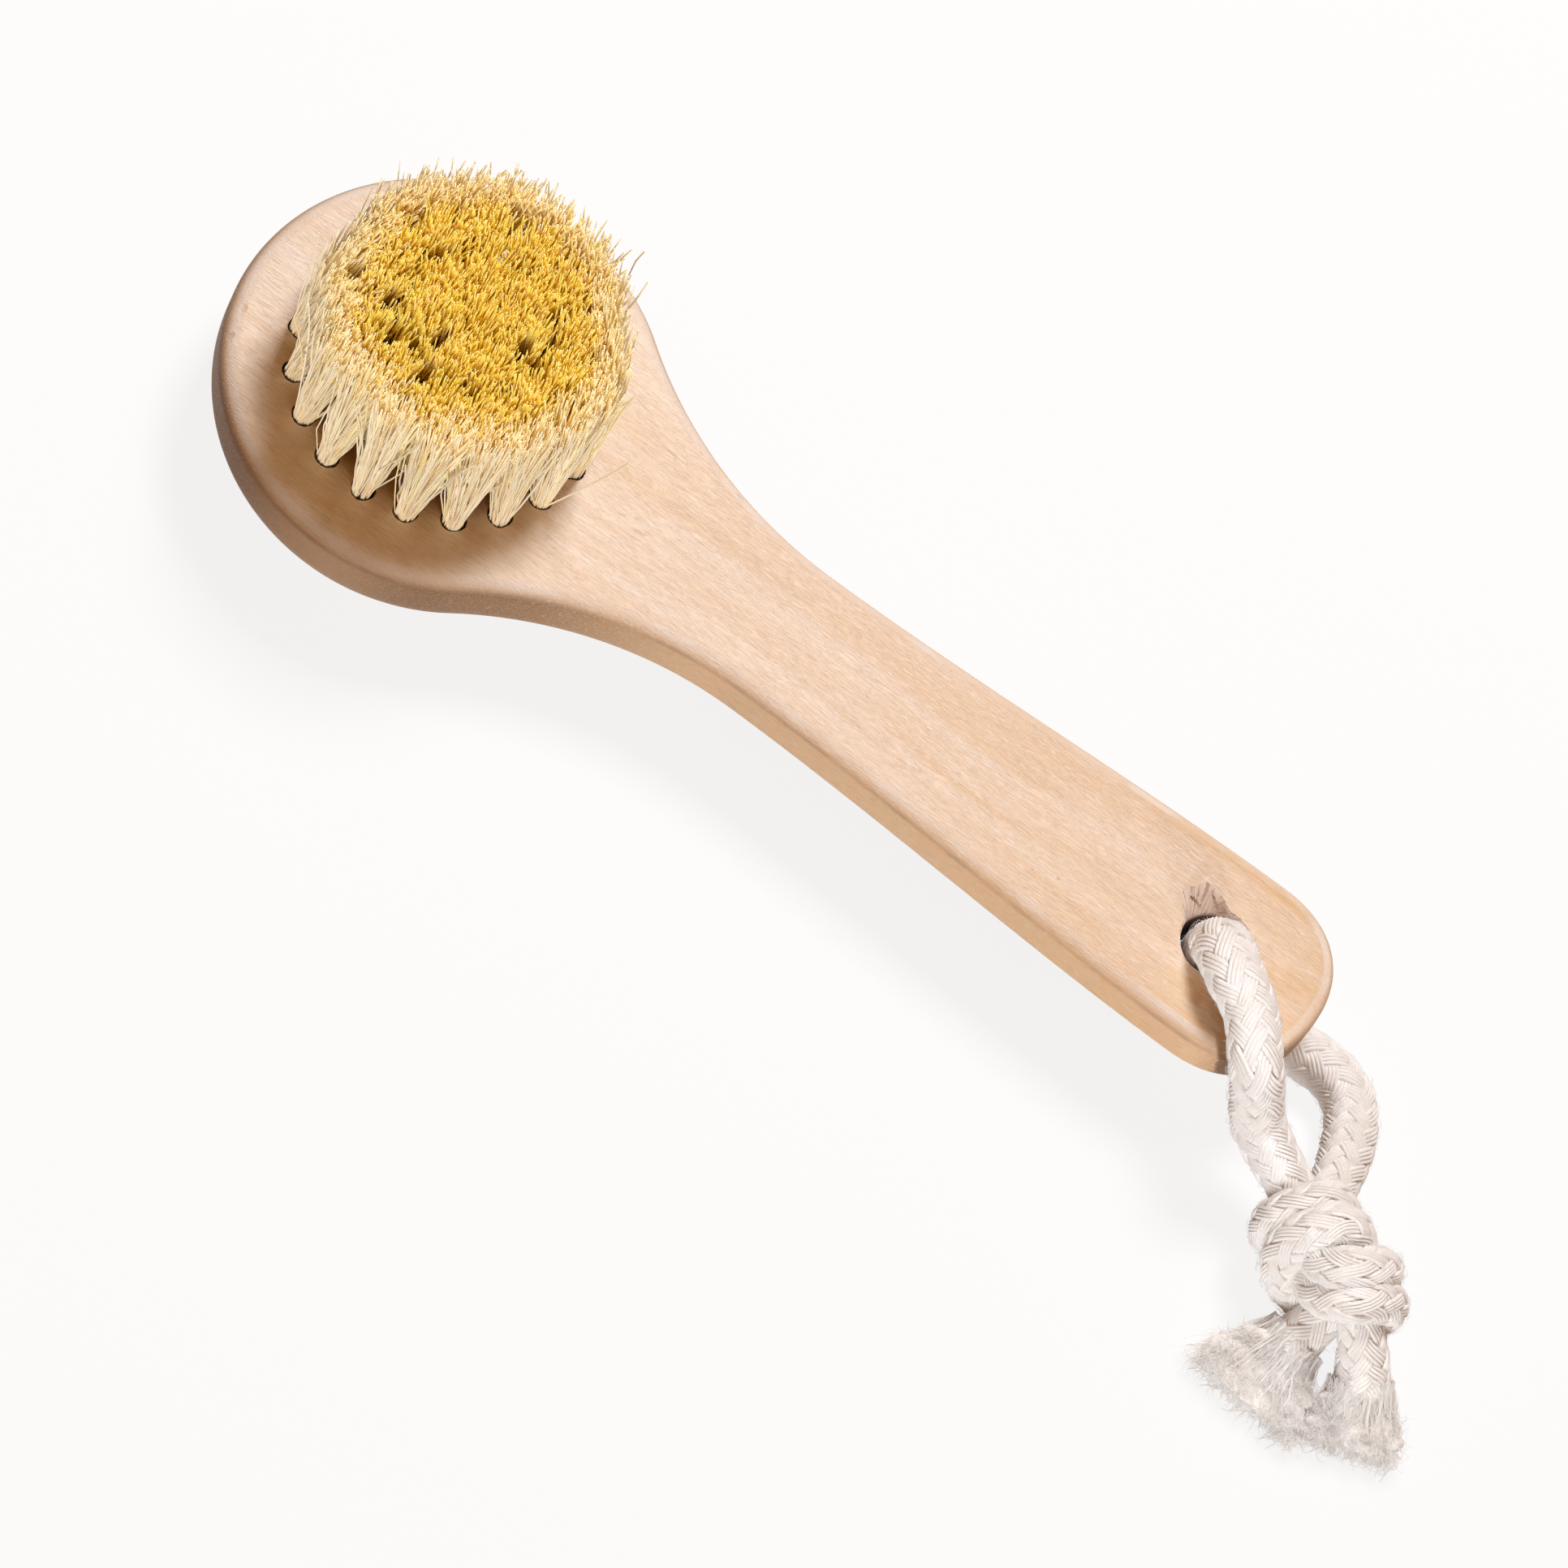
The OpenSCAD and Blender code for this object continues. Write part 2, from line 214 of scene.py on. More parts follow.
def join(surfaces: Sequence[Surface]) -> Surface:
    """Put several surfaces into one.

    Args:
        surfaces: Surfaces that all have, or all lack, each of UV, tint and slots.

    Returns:
        One surface, in the order given.
    """
    first = surfaces[0]
    point_base = np.cumsum([0] + [len(s.points) for s in surfaces[:-1]])
    loop_base = np.cumsum([0] + [len(s.loops) for s in surfaces[:-1]])

    def stacked(name: str) -> Optional[Array]:
        """One array of a field that every surface has.

        Args:
            name: The field.

        Returns:
            The array, or None where the surfaces lack it.
        """
        if getattr(first, name) is None:
            return None
        return np.concatenate([getattr(s, name) for s in surfaces])

    return Surface(
        stacked("points"),
        np.concatenate([s.loops + b for s, b in zip(surfaces, point_base)]),
        np.concatenate([s.starts + b for s, b in zip(surfaces, loop_base)]),
        stacked("uv"), stacked("tint"), stacked("slots"),
    )


def revolve(profile: Array, sides: int, swell: Array) -> Surface:
    """Turn a profile about the upright, as a closed solid.

    A corner is at the profile's radius times one plus the swell there, at the profile's height.

    Args:
        profile: Pairs of radius and height from the bottom up, without the two middle points.
        sides: Corners round the solid.
        swell: Shares that widen the radius, shape (len(profile), sides).

    Returns:
        The solid, with its bottom and top as single faces.
    """
    unit_ring = circle(sides)
    radius = profile[:, :1] * (1.0 + swell)
    points = np.concatenate([
        radius[..., None] * unit_ring[None],
        np.broadcast_to(profile[:, 1:, None], radius.shape + (1,)),
    ], axis=-1)
    index = np.arange(radius.size).reshape(radius.shape)
    turned = np.roll(index, -1, axis=1)
    quads = np.stack([index[:-1], turned[:-1], turned[1:], index[1:]], axis=-1).reshape(-1)
    loops = np.concatenate([quads, index[0, ::-1], index[-1]])
    starts = np.concatenate([4 * np.arange(quads.size // 4), quads.size + sides * np.arange(2)])
    return Surface(points.reshape(-1, 3), loops, starts)


@dataclass(frozen=True)
class Layer:
    """A layer of noise in a finish."""

    cells: Triple  # pattern cells in a metre, along each axis
    fade: Fade = (0.0, 1.0, 0.0, 1.0)  # two values of the noise, and the shares that it is eased to there
    detail: float = 2.0  # finer octaves of the noise
    rough: float = 0.5  # how strong those are
    sway: float = 0.0  # how far the layer bends with the grain
    offset: Triple = (0.0, 0.0, 0.0)  # how far the pattern is moved


class Shade:
    """A small writer of node materials with one Principled surface."""

    def __init__(self, name: str) -> None:
        """Make the material with its Principled node and its output.

        Args:
            name: The material's name.
        """
        self.material = bpy.data.materials.new(name)
        self.material.use_nodes = True
        self.tree = self.material.node_tree
        self.tree.nodes.clear()
        self.surface = self.add("BsdfPrincipled")
        self.output = self.add("OutputMaterial", Surface=self.surface.outputs[0])

    def add(self, kind: str, props: Optional[dict[str, Any]] = None, **inputs: Any) -> bpy.types.Node:
        """Add a node.

        Args:
            kind: The node's type, without its ShaderNode prefix.
            props: Settings of the node itself.
            **inputs: Values or sockets for its inputs, by name, with _ for a blank.

        Returns:
            The node.
        """
        node = self.tree.nodes.new("ShaderNode" + kind)
        for key, value in (props or {}).items():
            setattr(node, key, value)
        self.fill(node, inputs)
        return node

    def fill(self, node: bpy.types.Node, inputs: dict[str, Any]) -> None:
        """Put values or sockets into a node's inputs, by name, with _ for a blank."""
        for key, value in inputs.items():
            self.put(node.inputs[key.replace("_", " ")], value)

    def put(self, socket: bpy.types.NodeSocket, value: Any) -> None:
        """Link a socket to an input, or set the input's value.

        Args:
            socket: The input.
            value: A socket, or a plain value.
        """
        if isinstance(value, bpy.types.NodeSocket):
            self.tree.links.new(value, socket)
        elif socket.type == "RGBA":
            socket.default_value = (*value, 1.0)
        else:
            socket.default_value = value

    def dress(self, **inputs: Any) -> None:
        """Set inputs of the Principled node, by name, with _ for a blank."""
        self.fill(self.surface, inputs)

    def place(self, cells: Triple, offset: Triple = (0.0, 0.0, 0.0)) -> bpy.types.NodeSocket:
        """Object coordinates, scaled and moved.

        Args:
            cells: How many pattern cells a metre has, along each axis.
            offset: How far the scaled pattern is moved.

        Returns:
            The vector socket.
        """
        coords = self.add("TexCoord").outputs["Object"]
        return self.add("Mapping", Vector=coords, Scale=cells, Location=offset).outputs[0]

    def parts(self, offset: Triple = (0.0, 0.0, 0.0)) -> Any:
        """The X, Y and Z of Object coordinates, in metres, moved by an offset."""
        return self.add("SeparateXYZ", Vector=self.place((1.0, 1.0, 1.0), offset)).outputs

    def noise(self, layer: Layer, vector: Any = None) -> Any:
        """The noise of a layer, from 0 to 1.

        Args:
            layer: The layer.
            vector: A vector socket to take it at, or None for the layer's own place.

        Returns:
            The value socket.
        """
        if vector is None:
            vector = self.place(layer.cells, layer.offset)
        node = self.add("TexNoise", Vector=vector, Scale=1.0, Detail=layer.detail, Roughness=layer.rough)
        return node.outputs["Fac"]

    def share(self, layer: Layer, vector: Any = None) -> Any:
        """The noise of a layer, eased to its shares."""
        return self.between(self.noise(layer, vector), *layer.fade)

    def math(self, operation: str, a: Any, b: Any = 0.0, c: Any = 0.0) -> Any:
        """One sum of a Math node.

        Args:
            operation: The sum, such as MULTIPLY.
            a: Its first value or socket.
            b: Its second.
            c: Its third.

        Returns:
            The result's socket.
        """
        node = self.add("Math", {"operation": operation})
        for socket, value in zip(node.inputs, (a, b, c)):
            self.put(socket, value)
        return node.outputs[0]

    def between(self, value: Any, low: float, high: float, to_low: float = 0.0, to_high: float = 1.0) -> Any:
        """A value eased from one range to another, and held at its ends.

        Args:
            value: The value's socket.
            low: Start of its range.
            high: End of its range.
            to_low: What the start becomes.
            to_high: What the end becomes.

        Returns:
            The eased value's socket.
        """
        node = self.add("MapRange", {"interpolation_type": "SMOOTHSTEP"}, Value=value)
        self.fill(node, {"From Min": low, "From Max": high, "To Min": to_low, "To Max": to_high})
        return node.outputs[0]

    def mix(self, share: Any, a: Any, b: Any, blend: str = "MIX") -> Any:
        """A colour between two.

        Args:
            share: Share of the second colour, from 0 to 1.
            a: The first colour.
            b: The second colour.
            blend: How they are mixed.

        Returns:
            The colour's socket.
        """
        node = self.add("Mix", {"data_type": "RGBA", "blend_type": blend})
        self.put(node.inputs[0], share)
        self.put(node.inputs[6], a)
        self.put(node.inputs[7], b)
        return node.outputs[2]

    def bump(self, height: Any, depth: float, strength: float) -> Any:
        """A normal bent by a height from 0 to 1, where 1 is a depth in metres."""
        return self.add("Bump", Height=height, Distance=depth, Strength=strength).outputs[0]


@dataclass(frozen=True)
class Finish:
    """What every finish of a surface has."""

    roughness: float = 0.5  # roughness of the surface
    specular: float = 0.5  # its specular level
    depth: float = 1.0  # depth of its relief, where the relief's height is 1
    relief: float = 0.5  # strength of its bump

    def dress(self, s: Shade, colour: Any, height: Any = None, **more: Any) -> bpy.types.Material:
        """Put a colour, a relief and the finish's own values on the surface.

        Args:
            s: The writer of the material.
            colour: The surface's colour.
            height: Height of its relief, if it has any.
            **more: Other inputs of the Principled node, by name, with _ for a blank.

        Returns:
            The material.
        """
        if height is not None:
            more["Normal"] = s.bump(height, self.depth, self.relief)
        own = {"Roughness": self.roughness, "Specular_IOR_Level": self.specular}
        s.dress(Base_Color=colour, **{**own, **more})
        return s.material


@dataclass(frozen=True)
class Mark:
    """A small mark of use on the wood, as an oval along the grain."""

    at: Pair  # its middle
    size: Pair  # its half length and half width
    dark: float  # how much it darkens, from 0 to 1
    sunk: float  # how deep it is, as a share of the finish's mark depth


@dataclass(frozen=True)
class WoodFinish(Finish):
    """Pale close-grained wood, sanded and barely waxed.

    A fade is two values of what its comment names, and the shares of a colour there.
    """

    pale: Colour = (0.905, 0.775, 0.660)  # colour of the light growth
    warm: Colour = (0.805, 0.600, 0.425)  # colour of the darker growth
    amber: Colour = (0.740, 0.450, 0.180)  # colour of the streaks towards the handle's end
    fleck: Colour = (0.960, 0.860, 0.770)  # colour of the short bright fibres
    pore: Colour = (0.580, 0.370, 0.230)  # colour of the fine pores
    side: Colour = (0.985, 0.700, 0.430)  # colour of the sides, tinted warmer than the top as painted shade
    end_grain_and_shade: Colour = (0.340, 0.170, 0.055)  # colour of the sides where the grain is cut across, darkened further as painted shade
    sap_and_highlight: Colour = (0.920, 0.830, 0.770)  # colour of the pale sap streaks, and of the painted highlight on the shoulder of the top edge
    edge_shade_line: Colour = (0.520, 0.390, 0.320)  # colour of the painted shade line where that edge meets the side
    tuft_shade: Colour = (0.420, 0.230, 0.080)  # colour of the painted shade on the face under and between the tufts
    amber_and_cord_shadow: Colour = (0.780, 0.480, 0.190)  # colour of the amber wood beside the cord, with the painted warmth of the cord's shadow
    wander: Layer = Layer((14.0, 40.0, 40.0), detail=1.0)  # the slow noise by which the grain sways
    bands: Layer = Layer((5.0, 95.0, 95.0), (0.30, 0.66, 0.35, 1.0), 3.0, 0.55, 2.2)  # growth bands
    # Warm streaks in them.
    streaks: Layer = Layer((15.0, 330.0, 330.0), (0.44, 0.68, 0.0, 0.70), 4.0, 0.6, 5.0)
    sap: Layer = Layer((9.0, 150.0, 150.0), (0.50, 0.70, 0.0, 0.50), 3.0, 0.55, 3.0)  # pale streaks in them
    ambers: Layer = Layer((13.0, 260.0, 260.0), (0.40, 0.68, 0.22, 1.0), 3.0, 0.6, 4.0)  # amber streaks
    # Fine fibres, with the roughness that they are eased to.
    fibres: Layer = Layer((560.0, 6200.0, 6200.0), (0.3, 0.7, 0.40, 0.58), 2.0, 0.55, 20.0)
    flecks: Layer = Layer((520.0, 6200.0, 6200.0), (0.50, 0.68, 0.0, 1.0), 1.0)  # short bright fibres
    # Fine pores.
    pores: Layer = Layer((640.0, 7000.0, 7000.0), (0.54, 0.72, 0.0, 1.0), 1.0, offset=(7.0, 3.0, 1.0))
    # Patches that break up the painted highlight and shade line of the top edge.
    patches: Layer = Layer((150.0, 150.0, 150.0), (0.35, 0.65, 0.35, 1.0), 3.0)
    warm_fade: Fade = (-70.0 * MM, 50.0 * MM, 0.25, 0.95)  # warmth by the place along the brush
    amber_fade: Fade = (0.0 * MM, 75.0 * MM, 0.12, 0.80)  # amber by the place along the brush
    cord_shadow_fade: Fade = (0.2, 1.0, 0.45, 0.0)  # that amber and painted shadow by the distance from its middle, where 1 is its edge
    side_shade_fade: Fade = (0.25, 0.95, 0.85, 0.0)  # the painted side shade by how far the surface faces up or down
    cut_grain_shade_fade: Fade = (0.05, 0.55, 0.0, 1.0)  # end grain and painted shade by how far the surface faces along the brush
    # The painted shade of the tufts by the distance from the head's middle.
    tuft_shade_fade: Fade = (15.5 * MM, 18.5 * MM, 0.85, 0.0)
    # How far the surface faces up where that shade begins, and where it is full.
    face_level: Pair = (0.8, 0.95)
    mark_fade: Fade = (0.3, 1.0, 1.0, 0.0)  # a mark by the distance from its middle, where 1 is its edge
    mark_level: Pair = (0.3, 0.6)  # how far the surface faces up where marks begin, and where they are full
    # Slopes where the painted highlight on the top edge's shoulder begins, is full, still is full, and ends.
    highlight_slopes: tuple[float, ...] = (0.62, 0.86, 0.95, 0.998)
    edge_shade_slopes: tuple[float, ...] = (0.22, 0.38, 0.44, 0.60)  # the same for the painted shade line
    highlight_share: float = 0.75  # the greatest share of the painted highlight
    edge_shade_share: float = 0.60  # the greatest share of the painted shade line's colour
    fleck_share: float = 0.42  # the greatest share of the flecks' colour
    pore_share: float = 0.36  # the greatest share of the pores' colour
    head_at: Pair = (-50.0 * MM, 0.0)  # middle of the head
    cord_shadow_at: Pair = (66.0 * MM, -5.2 * MM)  # middle of the amber and painted cord shadow
    cord_shadow_size: Pair = (6.0 * MM, 4.0 * MM)  # half length and half width of the amber and painted cord shadow
    # Marks of use.
    marks: tuple[Mark, ...] = (
        Mark((42.7 * MM, -5.5 * MM), (0.40 * MM, 0.22 * MM), 0.55, 0.2),
        Mark((-14.3 * MM, 10.6 * MM), (0.9 * MM, 0.28 * MM), 0.40, 0.6),
        Mark((-73.9 * MM, -8.4 * MM), (0.5 * MM, 0.9 * MM), 0.20, 1.0),
        Mark((-73.0 * MM, -12.2 * MM), (0.5 * MM, 0.7 * MM), 0.20, 0.8),
    )
    mark_depth: float = 0.25 * MM  # depth of the deepest mark
    fibre_depth: float = 0.09 * MM  # depth of the fibres
    specular: float = 0.40

    def make(self) -> bpy.types.Material:
        """Grain along X with growth bands, streaks, flecks, pores and a few marks, and painted light: a
        highlight and a shade line on the top edge, and shade on the sides, under the tufts and beside the
        cord.

        Returns:
            The material.
        """
        s = Shade("sanded_wood")
        wander = s.noise(self.wander)
        sway = s.add("CombineXYZ", X=0.0, Y=wander, Z=wander).outputs[0]

        def grain(layer: Layer) -> Any:
            """Coordinates of a layer that sway a little from the straight.

            Args:
                layer: The layer.

            Returns:
                The vector socket.
            """
            drift = s.add("VectorMath", {"operation": "SCALE"}, Vector=sway, Scale=layer.sway)
            total = s.add("VectorMath", {"operation": "ADD"}, Vector=s.place(layer.cells))
            s.put(total.inputs[1], drift.outputs[0])
            return total.outputs[0]

        along = s.parts()[0]
        normal = s.add("NewGeometry").outputs["Normal"]
        lengthwise, _, level = s.add("SeparateXYZ", Vector=normal).outputs
        warm = s.math("MULTIPLY", s.between(along, *self.warm_fade), s.share(self.bands, grain(self.bands)))
        colour = s.mix(warm, self.pale, self.warm)
        colour = s.mix(s.share(self.streaks, grain(self.streaks)), colour, self.warm)
        colour = s.mix(s.share(self.sap, grain(self.sap)), colour, self.sap_and_highlight)
        amber = s.math("MULTIPLY", s.between(along, *self.amber_fade),
                       s.share(self.ambers, grain(self.ambers)))
        colour = s.mix(amber, colour, self.amber)
        # Amber wood and the painted warm shadow of the cord beside it.
        amber_and_cord_shadow = s.between(self.oval(s, self.cord_shadow_at, self.cord_shadow_size), *self.cord_shadow_fade)
        colour = s.mix(amber_and_cord_shadow, colour, self.amber_and_cord_shadow)
        # Painted shade: the sides are tinted warmer than the top.
        side_shade = s.between(s.math("ABSOLUTE", level), *self.side_shade_fade)
        colour = s.mix(side_shade, colour, self.side)
        # End grain darkened further as painted shade, where the sides face along the brush.
        cut = s.math("MULTIPLY", side_shade, s.between(s.math("ABSOLUTE", lengthwise), *self.cut_grain_shade_fade))
        colour = s.mix(cut, colour, self.end_grain_and_shade)
        fleck = s.share(self.flecks)
        colour = s.mix(s.math("MULTIPLY", fleck, self.fleck_share), colour, self.fleck)
        colour = s.mix(s.math("MULTIPLY", s.share(self.pores), self.pore_share), colour, self.pore)
        patchy = s.share(self.patches)
        # Painted highlight on the shoulder of the top edge, broken up by patches.
        sap_and_highlight = self.on_edge(s, level, patchy, self.highlight_slopes, self.highlight_share)
        colour = s.mix(sap_and_highlight, colour, self.sap_and_highlight)
        # Painted shade line lower on the round of the top edge.
        edge_shade_line = self.on_edge(s, level, patchy, self.edge_shade_slopes, self.edge_shade_share)
        colour = s.mix(edge_shade_line, colour, self.edge_shade_line)
        # Painted shade on the face under the tufts.
        under = s.between(self.oval(s, self.head_at, (1.0, 1.0)), *self.tuft_shade_fade)
        under = s.math("MULTIPLY", under, s.between(level, *self.face_level))
        colour = s.mix(under, colour, self.tuft_shade)
        fibre = s.noise(self.fibres, grain(self.fibres))
        relief = s.math("MULTIPLY", s.math("ADD", fibre, fleck), self.fibre_depth)
        for mark in self.marks:
            spot = s.between(self.oval(s, mark.at, mark.size), *self.mark_fade)
            spot = s.math("MULTIPLY", spot, s.between(level, *self.mark_level))
            colour = s.mix(s.math("MULTIPLY", spot, mark.dark), colour, self.pore)
            sunk = s.math("MULTIPLY", spot, mark.sunk * self.mark_depth)
            relief = s.math("SUBTRACT", relief, sunk)
        return self.dress(s, colour, relief, Roughness=s.between(fibre, *self.fibres.fade))

    @staticmethod
    def oval(s: Shade, at: Pair, size: Pair) -> Any:
        """Distance from a place of the plan, where 1 is the edge of an oval.

        Args:
            s: The writer of the material.
            at: The oval's middle.
            size: Its half length and half width.

        Returns:
            The distance's socket.
        """
        cells = (1.0 / size[0], 1.0 / size[1], 0.0)
        place = s.place(cells, (-at[0] * cells[0], -at[1] * cells[1], 0.0))
        return s.add("VectorMath", {"operation": "LENGTH"}, Vector=place).outputs["Value"]

    @staticmethod
    def on_edge(s: Shade, level: Any, patchy: Any, slopes: tuple[float, ...], most: float) -> Any:
        """A patchy share on the part of the top edge that has certain slopes.

        Args:
            s: The writer of the material.
            level: How far the surface faces up.
            patchy: How much of the share each place has.
            slopes: The slopes where the share begins, is full, still is full, and ends.
            most: The greatest share.

        Returns:
            The share.
        """
        rises = s.between(level, slopes[0], slopes[1])
        falls = s.between(level, slopes[2], slopes[3], most, 0.0)
        return s.math("MULTIPLY", s.math("MULTIPLY", rises, falls), patchy)


@dataclass(frozen=True)
class ScorchedFinish(Finish):
    """Wood burnt by the drill at the tuft holes."""

    dark: Colour = (0.085, 0.040, 0.022)  # colour of the char
    brown: Colour = (0.360, 0.190, 0.090)  # colour where it fades
    # The fine noise that breaks it up.
    grit: Layer = Layer((1800.0, 1800.0, 1800.0), (0.4, 0.75, 0.0, 1.0), 3.0, 0.6)
    roughness: float = 0.85
    depth: float = 0.1 * MM
    relief: float = 0.6
    specular: float = 0.2

    def make(self) -> bpy.types.Material:
        """Char broken up by a fine noise.

        Returns:
            The material.
        """
        s = Shade("scorched_wood")
        grit = s.noise(self.grit)
        colour = s.mix(s.between(grit, *self.grit.fade), self.dark, self.brown)
        return self.dress(s, colour, grit)


@dataclass(frozen=True)
class EndGrainFinish(Finish):
    """Torn grain on the wall of the hanging hole, and painted shade lower on that wall."""

    pale: Colour = (0.860, 0.720, 0.630)  # colour of the raised fibres
    brown: Colour = (0.480, 0.300, 0.220)  # colour between them
    dark: Colour = (0.090, 0.038, 0.020)  # colour of the painted shade low in the hole
    hole_shade_fade: Fade = (14.6 * MM, 15.7 * MM, 0.90, 0.0)  # two heights, and the shares of the painted shade there
    hole_x: float = 62.0 * MM  # place of the hole along the brush
    lean: float = 160.0  # how far the fibres lean over, in radians for a metre of height
    # Lines of fibre, with cells for a radian round the hole and a metre of height.
    stripes: Layer = Layer((13.0, 260.0, 0.0), (0.36, 0.52, 0.0, 1.0), 3.0, 0.65)
    roughness: float = 0.8
    depth: float = 0.3 * MM
    relief: float = 0.8
    specular: float = 0.2

    def make(self) -> bpy.types.Material:
        """Lines of fibre that fan out from the hole and lean over, and painted shade on the wall below them.

        Returns:
            The material.
        """
        s = Shade("torn_end_grain")
        x, y, height = s.parts((-self.hole_x, 0.0, 0.0))
        turn = s.math("MULTIPLY_ADD", height, self.lean, s.math("ARCTAN2", y, x))
        round_hole, down, _ = self.stripes.cells
        fan = s.add("CombineXYZ", X=s.math("MULTIPLY", turn, round_hole),
                    Y=s.math("MULTIPLY", height, down), Z=0.0)
        stripe = s.noise(self.stripes, fan.outputs[0])
        colour = s.mix(s.between(stripe, *self.stripes.fade), self.brown, self.pale)
        # Painted shade on the lower wall of the hole.
        colour = s.mix(s.between(height, *self.hole_shade_fade), colour, self.dark)
        return self.dress(s, colour, stripe)


@dataclass(frozen=True)
class BristleFinish(Finish):
    """Bleached natural bristle, cream to gold."""

    roughness: float = 0.45
    specular: float = 0.3
    shade: Colour = (1.0, 0.84, 0.58)  # colour by which the fine bands along a hair darken it
    bands: Layer = Layer((2600.0, 2600.0, 380.0), (0.45, 0.75, 0.0, 0.35))  # those bands

    def make(self) -> bpy.types.Material:
        """The tint of each hair, with faint bands along it.

        Returns:
            The material.
        """
        s = Shade("natural_bristle")
        tint = s.add("Attribute", {"attribute_name": "tint"}).outputs["Color"]
        colour = s.mix(s.share(self.bands), tint, self.shade, "MULTIPLY")
        return self.dress(s, colour)


@dataclass(frozen=True)
class CottonFinish(Finish):
    """Unbleached cotton yarn."""

    name: str = "cotton_yarn"  # the material's name
    light: Colour = (0.925, 0.915, 0.920)  # colour of clean yarn
    cream: Colour = (0.915, 0.875, 0.830)  # colour of the yarn's creamier stretches
    fibre_turns: float = 7.0  # fine fibres round a yarn
    fibre_cells: float = 220.0  # breaks in them along the yarn's UV
    # Those fibres, with the shares of the cream between them.
    fibres: Layer = Layer((1.0, 1.0, 1.0), (0.35, 0.7, 0.22, 0.0), 3.0, 0.6)
    patches: Layer = Layer((260.0, 260.0, 260.0), (0.45, 0.72, 0.0, 0.55), 3.0, 0.6)  # the creamier stretches
    roughness: float = 0.82
    depth: float = 0.12 * MM
    relief: float = 0.7
    specular: float = 0.25
    sheen: Pair = (0.25, 0.5)  # weight of the sheen of fine fuzz, and its roughness

    def make(self) -> bpy.types.Material:
        """Fine fibres that run along the yarn by its UV, with creamier patches.

        Returns:
            The material.
        """
        s = Shade(self.name)
        uv = s.add("TexCoord").outputs["UV"]
        lines = s.add("Mapping", Vector=uv, Scale=(self.fibre_cells, self.fibre_turns, 1.0)).outputs[0]
        fibre = s.noise(self.fibres, lines)
        colour = s.mix(s.share(self.patches), self.light, self.cream)
        colour = s.mix(s.between(fibre, *self.fibres.fade), colour, self.cream)
        weight, roughness = self.sheen
        return self.dress(s, colour, fibre, Sheen_Weight=weight, Sheen_Roughness=roughness)


@dataclass(frozen=True)
class SteelFinish(Finish):
    """Drawn steel strip of the tuft anchors."""

    colour: Colour = (0.60, 0.59, 0.57)  # colour of the metal
    # Lines of drawing, with the roughness that they are eased to.
    lines: Layer = Layer((9000.0, 300.0, 9000.0), (0.3, 0.7, 0.25, 0.45))
    depth: float = 0.03 * MM
    relief: float = 0.4

    def make(self) -> bpy.types.Material:
        """Lines of drawing along the strip.

        Returns:
            The material.
        """
        s = Shade("drawn_steel")
        lines = s.noise(self.lines)
        roughness = s.between(lines, *self.lines.fade)
        return self.dress(s, self.colour, lines, Metallic=1.0, Roughness=roughness)


